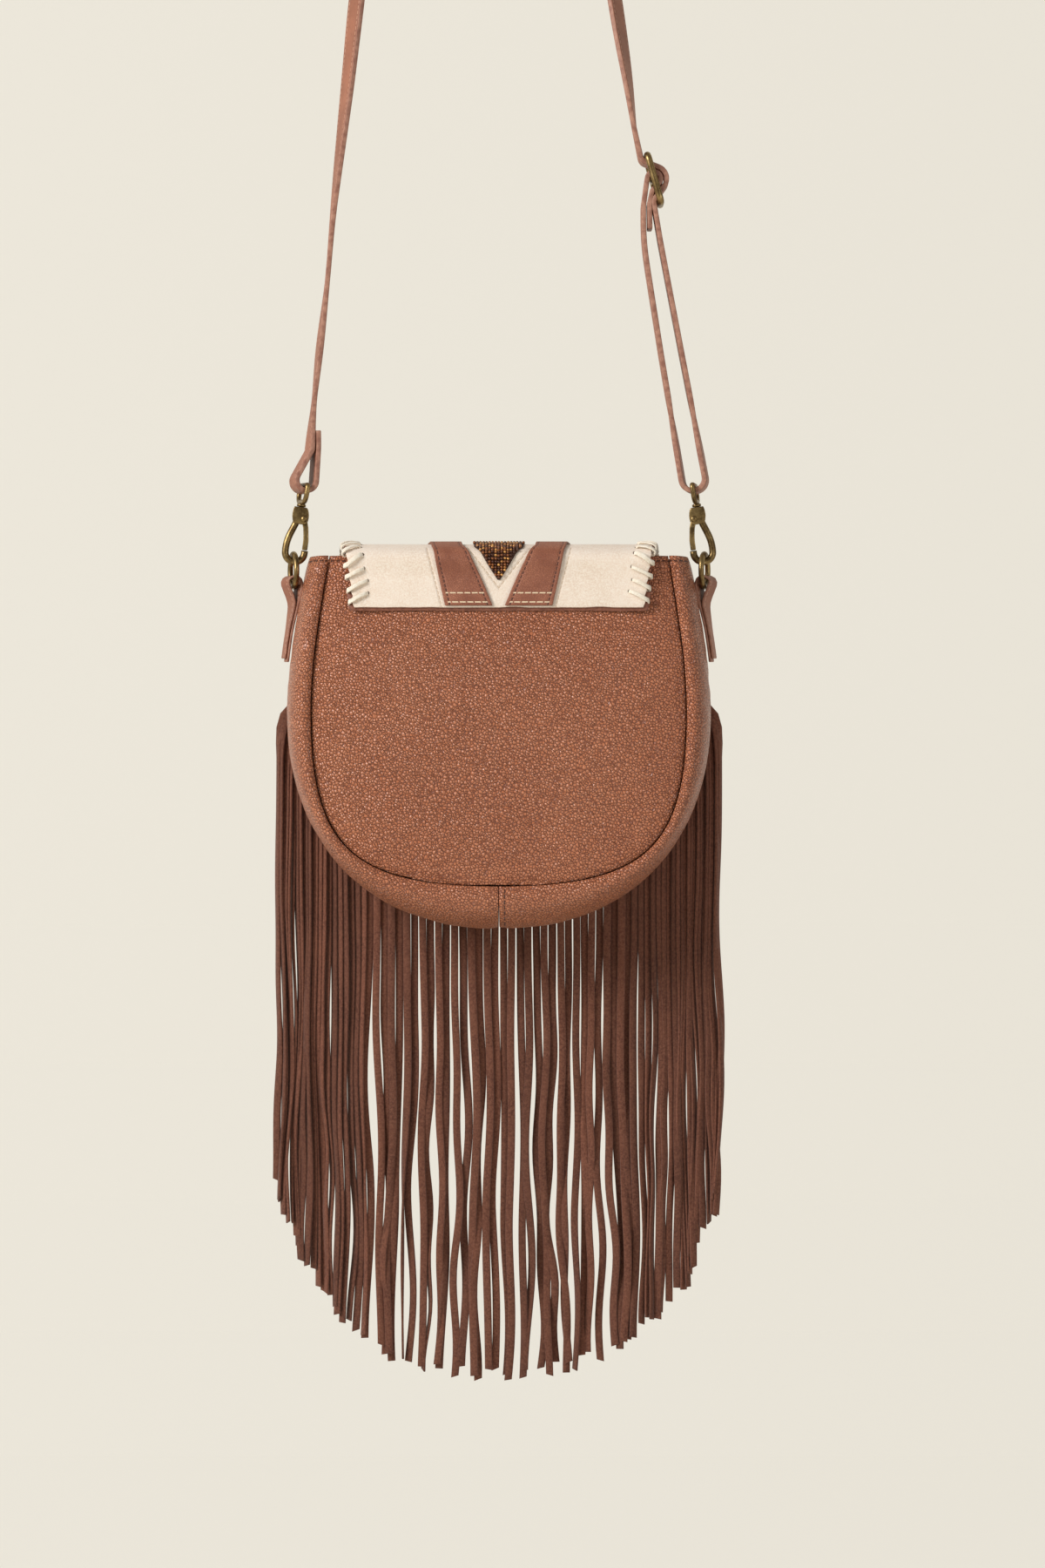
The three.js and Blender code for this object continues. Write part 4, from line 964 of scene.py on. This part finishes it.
strap_hide = Finish("strap_hide", Specular_IOR_Level=0.5)
strap_cut = strap_hide.node("UVMap", {"uv_map": "Cut"})
strap_across = strap_hide.node("SeparateXYZ", None, {0: strap_cut})
strap_along = strap_across.other("Y")
strap_where = strap_hide.where()
strap_tone = strap_hide.cloud(strap_where, 38, 4.0)
strap_grain = strap_hide.node("TexVoronoi", None, {"Vector": strap_where, "Scale": 1500})
strap_wear = strap_hide.cloud(strap_where, 320, 5.0, 0.65)
strap_shade = strap_hide.mix(strap_tone.step(0.3, 0.7), sRGB(138, 84, 60), sRGB(162, 102, 75))
strap_shade = strap_hide.mix(strap_wear.step(0.5, 0.78) * 0.45, strap_shade, sRGB(122, 74, 56))
strap_row = abs(strap_across - 7.5) - 5.6
strap_thread = sewn_row(strap_hide, strap_row, strap_along, 3.0, 0.42)
# A darker line along each row, in its groove: painted shade.
strap_shade = strap_hide.mix(abs(strap_row).step(0.9, 0.2) * 0.5, strap_shade, sRGB(118, 70, 54))
strap_shade = strap_hide.mix(strap_thread, strap_shade, sRGB(196, 148, 122))
strap_height = strap_grain * 0.3 + strap_wear * 0.4 - abs(strap_row).step(1.0, 0.0) * 1.2 + strap_thread * 1.3
strap_hide.colour(strap_shade)
strap_hide.roughness(0.44 + strap_wear * 0.2)
strap_hide.relief(strap_height, 0.00022, 0.7)
strap_edge = mottled("strap_edge", 0.55, 300, 4.0, (142, 94, 76), (180, 132, 110), 0.00012)


def evenly(line, step):
    """Points at equal steps along a line of points, with what else each point carries."""
    lengths = [0.0]
    for a, b in zip(line, line[1:]):
        lengths.append(lengths[-1] + dist(a[:2], b[:2]))
    count = max(int(lengths[-1] / step), 2)
    spaced, k = [], 0
    for i in range(count + 1):
        run = lengths[-1] * i / count
        while k < len(lengths) - 2 and lengths[k + 1] < run:
            k += 1
        share = (run - lengths[k]) / max(lengths[k + 1] - lengths[k], 1e-9)
        spaced.append(tuple(p + (q - p) * min(share, 1) for p, q in zip(line[k], line[k + 1])))
    return spaced, lengths[-1]


def ribbon(middle, across, width, thick, length):
    """A leather strip along a middle line, with its width laid across."""
    last = len(middle) - 1

    def on_ribbon(u, v):
        i = round(v * last)
        along = (middle[min(i + 1, last)] - middle[max(i - 1, 0)]).normalized()
        wide = (across[i] - along * across[i].dot(along)).normalized()
        return middle[i] + (wide * (u - 0.5) * width + wide.cross(along) * thick / 2) * mm

    return thicken(laid(6, last, on_ribbon, (width, length)), thick * mm, 0.5 * mm)


tab_width, tab_thick = 11, 1.45
ring_spread, ring_z, ring_middle, ring_wire = 118, -7.4, 9.4, 1.6
loop_top, loop_half = ring_z - ring_middle + 1.1, 4.45


for side_name, side in both_sides:
    fold = [(half_at(silhouette, -drop, 1.0) + tab_thick, -drop) for drop in range(60, 22, -2)]
    fold += [
        (ring_spread + loop_half * cos(turn), loop_top + loop_half * sin(turn))
        for turn in (pi * (1 - i / 14) for i in range(15))
    ]
    fold += [(half_at(silhouette, -drop, 1.0) + tab_thick + 1.8, -drop) for drop in range(24, 59, 2)]
    for _ in range(3):
        fold = fold[:1] + [
            ((a[0] + 2 * b[0] + c[0]) / 4, (a[1] + 2 * b[1] + c[1]) / 4) for a, b, c in zip(fold, fold[1:], fold[2:])
        ] + fold[-1:]
    fold, fold_length = evenly(fold, 1.2)
    middle = [bag(side * (x + 0.9), 0, z) for x, z in fold]
    turns = [Matrix.Rotation(-side * radians(12 + 14 * ease((z + 45) / 25)), 3, "Z") for x, z in fold]
    tab = ribbon(middle, [turn @ Vector((0, 1, 0)) for turn in turns], tab_width, tab_thick, fold_length)
    made(f"side_tab_{side_name}", tab, [strap_hide, strap_edge], "strap_leather", [f"tab_{side_name}"], "bag")


# Rings
# A round brass ring hangs between each tab and its snap hook.

for side_name, side in both_sides:
    ring = bmesh.new()
    at_wire = Matrix.Translation((0, 0, ring_middle)) @ Matrix.Rotation(pi / 2, 4, "X")
    bmesh.ops.create_circle(ring, cap_ends=False, segments=20, radius=ring_wire, matrix=at_wire)
    bmesh.ops.spin(
        ring, geom=ring.verts[:] + ring.edges[:], cent=(0, 0, 0), axis=(1, 0, 0), dvec=(0, 0, 0), angle=2 * pi,
        steps=64, use_merge=True, use_duplicate=False,
    )
    bmesh.ops.remove_doubles(ring, verts=ring.verts[:], dist=0.001)
    turn = Matrix.Rotation(radians(-14 * side), 4, "Z")
    ring = placed(ring, Matrix.Translation(bag(side * ring_spread, 0, ring_z)) @ turn @ size_mm)
    made(f"side_ring_{side_name}", ring, [brass], "brass", [f"ring_{side_name}"], f"ring_{side_name}")


# Snap hooks
# Each is a cast brass hook with a forked head. The gate turns on a riveted pin in the fork, and the
# strap's eye turns on a headed shank in the crown.

def bent_wire(line, radius, closed=False):
    """Round wire bent along a line."""
    curve = bpy.data.curves.new("wire", "CURVE")
    curve.dimensions = "3D"
    curve.bevel_depth = radius
    curve.bevel_resolution = 4
    curve.use_fill_caps = not closed
    spline = curve.splines.new("POLY")
    spline.points.add(len(line) - 1)
    for point, place in zip(spline.points, line):
        point.co = (*place, 1)
    spline.use_cyclic_u = closed
    holder = bpy.data.objects.new("wire", curve)
    mesh = bpy.data.meshes.new_from_object(holder)
    shape = bmesh.new()
    shape.from_mesh(mesh)
    bpy.data.objects.remove(holder)
    bpy.data.curves.remove(curve)
    bpy.data.meshes.remove(mesh)
    bmesh.ops.remove_doubles(shape, verts=shape.verts[:], dist=0.0005)
    return shape


def plate(outline, near, far, rounding):
    """A plate cut to an outline in the side view, from near to far, with rounded edges."""
    shape = bmesh.new()
    face = shape.faces.new([shape.verts.new((x, near, z)) for x, z in outline])
    grown = bmesh.ops.extrude_face_region(shape, geom=[face])["geom"]
    bmesh.ops.translate(shape, verts=[v for v in grown if isinstance(v, bmesh.types.BMVert)], vec=(0, far - near, 0))
    bmesh.ops.recalc_face_normals(shape, faces=shape.faces[:])
    sharp = [e for e in shape.edges if e.calc_face_angle(0) > 0.7]
    bmesh.ops.bevel(shape, geom=sharp, offset=rounding, segments=3, profile=0.5, affect="EDGES", material=-1)
    return shape


def arc(x, z, radius, start, end, steps):
    turns = (start + (end - start) * i / steps for i in range(steps + 1))
    return [(x + radius * cos(turn), z + radius * sin(turn)) for turn in turns]


def rounded_loop(half, low, high, low_corner, high_corner):
    """A rounded frame's middle line, in the plane across the strap."""
    corners = (
        (half - low_corner, low + low_corner, low_corner, -0.5),
        (half - high_corner, high - high_corner, high_corner, 0),
        (high_corner - half, high - high_corner, high_corner, 0.5),
        (low_corner - half, low + low_corner, low_corner, 1),
    )
    loop = []
    for y, z, radius, start in corners:
        loop += [(0, *p) for p in arc(y, z, radius, start * pi, (start + 0.5) * pi, 8)]
    return loop


hook_drop, hook_lean, eye_top = 2.5, radians(8), 44.3
pin_x, pin_z = 2.8, 25
limb = [bezier((-1.4, 23.6), (-3, 18), (-6.1, 13), (-5.5, 5.5), i / 20) for i in range(20)]
hook_line = [(x, 0, z) for x, z in limb + arc(0, 5.5, 5.5, pi, 2 * pi, 28) + [(5.5, 7.1)]]
head_outline = (
    (-3.0, 22), (4.2, 22), (4.9, 24.2), (5.05, 26), (5, 27.5), (4.6, 29.6), (3.6, 31.6),
    (-3.6, 31.6), (-4.1, 29.4), (-4.25, 27.5), (-4.2, 26), (-3.7, 23.8),
)
crown_outline = ((4.6, 29.4), (4.3, 30.6), (3.6, 31.6), (-3.6, 31.6), (-4.0, 30.2), (-4.1, 29.4))
back_outline = ((-3.0, 22.1), (-2.45, 22.1), (-2.45, 29.6), (-4.1, 29.6), (-4.25, 27.5), (-4.2, 26), (-3.7, 23.8))
gate_outline = (
    (3.9, 7.5), (6.9, 7.5), (6.9, 13.2), (6.3, 17.2), (5.8, 20.4), (4.6, 24.4), (1.6, 23.6), (2.95, 19.6), (3.6, 15.6),
    (3.9, 12.8),
)
pin_profile = [
    (0, -5.0), (0.9, -4.9), (1.5, -4.6), (1.8, -4.2), (1.8, -3.8), (0.9, -3.8), (0.9, 3.8), (1.8, 3.8), (1.8, 4.2),
    (1.5, 4.6), (0.9, 4.9), (0, 5.0),
]
shank_profile = [
    (0, 27.6), (1.6, 27.6), (1.9, 27.9), (1.9, 28.8), (1.6, 29.1), (1.2, 29.2), (1.2, 31.9), (2.3, 31.9), (2.6, 32.2),
    (2.6, 33.2), (2.3, 33.5), (1.35, 33.6), (1.2, 34.0), (1.2, 34.8), (0, 34.8),
]

for side_name, side, eye_turn in (("left", -1, 16), ("right", 1, -8)):
    lean = Matrix.Translation(bag(side * ring_spread, 0, -hook_drop)) @ Matrix.Rotation(-hook_lean * side, 4, "Y")
    stand = lean @ Matrix.Diagonal((-side * mm, mm, mm, 1))
    hook = bent_wire(hook_line, 2)
    for outline, near, far, rounding in (
        (head_outline, -3.5, -2.3, 0.35), (head_outline, 2.3, 3.5, 0.35),
        (crown_outline, -2.7, 2.7, 0.2), (back_outline, -2.7, 2.7, 0.2),
    ):
        add_to(hook, plate(outline, near, far, rounding))
    made(f"snap_hook_{side_name}", placed(hook, stand), [brass], "brass", [f"hook_{side_name}"], f"hook_{side_name}")

    gate = plate(gate_outline, -1.71, 1.71, 0.5)
    add_to(gate, plate(arc(pin_x, pin_z, 1.9, 0, 2 * pi, 28)[:-1], -1.9, 1.9, 0.25))
    made(f"snap_gate_{side_name}", placed(gate, stand), [brass], "brass", [f"gate_{side_name}"], f"gate_{side_name}")

    pin = spun(pin_profile, 24)
    pin = placed(pin, stand @ Matrix.Translation((pin_x, 0, pin_z)) @ Matrix.Rotation(pi / 2, 4, "X"))
    made(f"snap_pin_{side_name}", pin, [brass], "brass", [f"gate_pin_{side_name}"], f"hook_{side_name}")

    eye = bent_wire(rounded_loop(9.6, 34.6, eye_top, 5, 1.8), 1.5, closed=True)
    add_to(eye, spun(shank_profile, 24))
    eye = placed(eye, lean @ Matrix.Rotation(radians(eye_turn), 4, "Z") @ size_mm)
    made(f"swivel_eye_{side_name}", eye, [brass], "brass", [f"eye_{side_name}"], "strap")


# Slide
# A three-bar slide of brass wire on the strap's right strand sets its length.

slide_x, slide_z, slide_lean, bar_step = 93.5, -370, radians(16), 13.9
on_slide = Matrix.Translation((slide_x * mm, 0, slide_z * mm)) @ Matrix.Rotation(-slide_lean, 4, "Y") @ size_mm
frame_wire = placed(bent_wire(rounded_loop(10.3, -2 * bar_step, 0, 3.5, 3.5), 2, closed=True), on_slide)
made("slide_loop", frame_wire, [brass], "brass", ["slide_frame"], "strap")
bar = spun([(0, -8.2), (1.7, -8.2), (2, -7.9), (2, 7.9), (1.7, 8.2), (0, 8.2)], 28)
bar = placed(bar, on_slide @ Matrix.Translation((0, 0, -bar_step)) @ Matrix.Rotation(pi / 2, 4, "X"))
made("slide_middle_bar", bar, [brass], "brass", ["slide_bar"], "strap")


# Strap
# One long strip of smooth leather, stitched beside both edges. Its left end is sewn back round the
# left eye. On the right it runs through the slide, round the right eye and back to the slide's bar.

def eye_place(side):
    x = bag_x + side * (ring_spread - eye_top * sin(hook_lean))
    return x, bag_top - hook_drop + eye_top * cos(hook_lean)


left_x, left_z = eye_place(-1)
right_x, right_z = eye_place(1)
bars = [
    (slide_x + n * bar_step * sin(slide_lean), slide_z - n * bar_step * cos(slide_lean)) for n in range(3)
]
strap_width, strap_thick, top_bend = 15, 2.9, 38
tail_reach, beside, wrap, wrap_over, right_opening = 6.9, 3.3, 3.85, 7.2, 11.9
# Each stop is x, z, twist in degrees, radius and the side that its centre lies on
stops = (
    (left_x + tail_reach + 0.4, left_z + 31.6, 0, 0, 1), (left_x + tail_reach, left_z + 20.6, 0, 0, 1),
    (left_x, left_z + 2.45, 0, 5.75, -1), (left_x + tail_reach - beside, left_z + 20.6, 0, 0, 1),
    (left_x + tail_reach + 0.4 - beside, left_z + 31.6, 0, 0, 1),
    (left_x + 6.3, left_z + 53.6, 4, 0, 1), (-94.5, -480, 12, 0, 1), (-89.75, -440, 2, 0, 1), (-87, -405, 5, 0, 1),
    (-84.3, -380, 12, 0, 1), (-78.5, -330, 24, 0, 1), (-73.25, -280, 32, 0, 1), (-60, -180, 20, 0, 1),
    (0, 1.5 - top_bend, 0, top_bend, -1),
    (62, -190, 18, 0, 1), (75, -280, 28, 0, 1), (79, -305, 24, 0, 1), (83, -330, 14, 0, 1), (85.75, -352, 3, 0, 1),
    (*bars[0], 0, wrap, 1), (*bars[1], 0, wrap_over, -1), (*bars[2], 0, wrap, 1),
    (101.2, -420, 0, 0, 1), (right_x - tail_reach, right_z + 74.6, 0, 0, 1),
    (right_x, right_z + 3.45, 0, 6.75, -1),
    (right_x - tail_reach - right_opening, right_z + 74.6, 0, 0, 1), (91.4, -420, 0, 0, 1), (91.2, -400, 0, 0, 1),
    (*bars[1], 0, wrap, -1), (95.55, -391.2, 0, 0, 1), (94.75, -397, 0, 0, 1), (95.0, -412, 0, 0, 1),
)

ways = []
for (ax, az, _, a_radius, a_side), (bx, bz, _, b_radius, b_side) in zip(stops, stops[1:]):
    lead = b_side * b_radius - a_side * a_radius
    heading = atan2(bz - az, bx - ax) - asin(lead / hypot(bx - ax, bz - az))
    off = Vector((-sin(heading), cos(heading)))
    ways.append((Vector((ax, az)) - off * a_side * a_radius, Vector((bx, bz)) - off * b_side * b_radius))

# Each point of the route is x, z, twist, and 1 where a bar holds it
route = [(*ways[0][0], stops[0][2], 1)]
for (x, z, twist, radius, turn_side), (_, arrive), (leave, _) in zip(stops[1:], ways, ways[1:]):
    if not radius:
        route.append((x, z, twist, 0))
        continue
    start = atan2(arrive.y - z, arrive.x - x)
    turn = (atan2(leave.y - z, leave.x - x) - start) * turn_side % (2 * pi) * turn_side
    route += [(*p, twist, 1) for p in arc(x, z, radius, start, start + turn, max(4, int(abs(turn) * radius / 0.8)))]
route.append((*ways[-1][1], stops[-1][2], 1))
route, strap_length = evenly(route, 1.1)
for _ in range(60):
    route = route[:1] + [
        b if b[3] > 0.01 else ((a[0] + c[0]) / 2, (a[1] + c[1]) / 2, (a[2] + c[2]) / 2, b[3])
        for a, b, c in zip(route, route[1:], route[2:])
    ] + route[-1:]

strap_middle, turns = [], []
for x, z, twist, _ in route:
    on_right = x > 0
    eye_x = right_x if on_right else left_x
    turn = radians(-8 if on_right else 16) * ease((-505 - z) / 35)
    strap_middle.append(Vector((eye_x + (x - eye_x) * cos(turn), (x - eye_x) * sin(turn), z)) * mm)
    turns.append((turn, twist))
wide = []
for i, (turn, twist) in enumerate(turns):
    along = (strap_middle[min(i + 1, len(route) - 1)] - strap_middle[max(i - 1, 0)]).normalized()
    across = Matrix.Rotation(turn, 3, "Z") @ Vector((0, 1, 0))
    wide.append(Matrix.Rotation(radians(twist), 3, along) @ across)
strap = ribbon(strap_middle, wide, strap_width, strap_thick, strap_length)
made("strap_strip", strap, [strap_hide, strap_edge], "strap_leather", ["strap"], "strap")
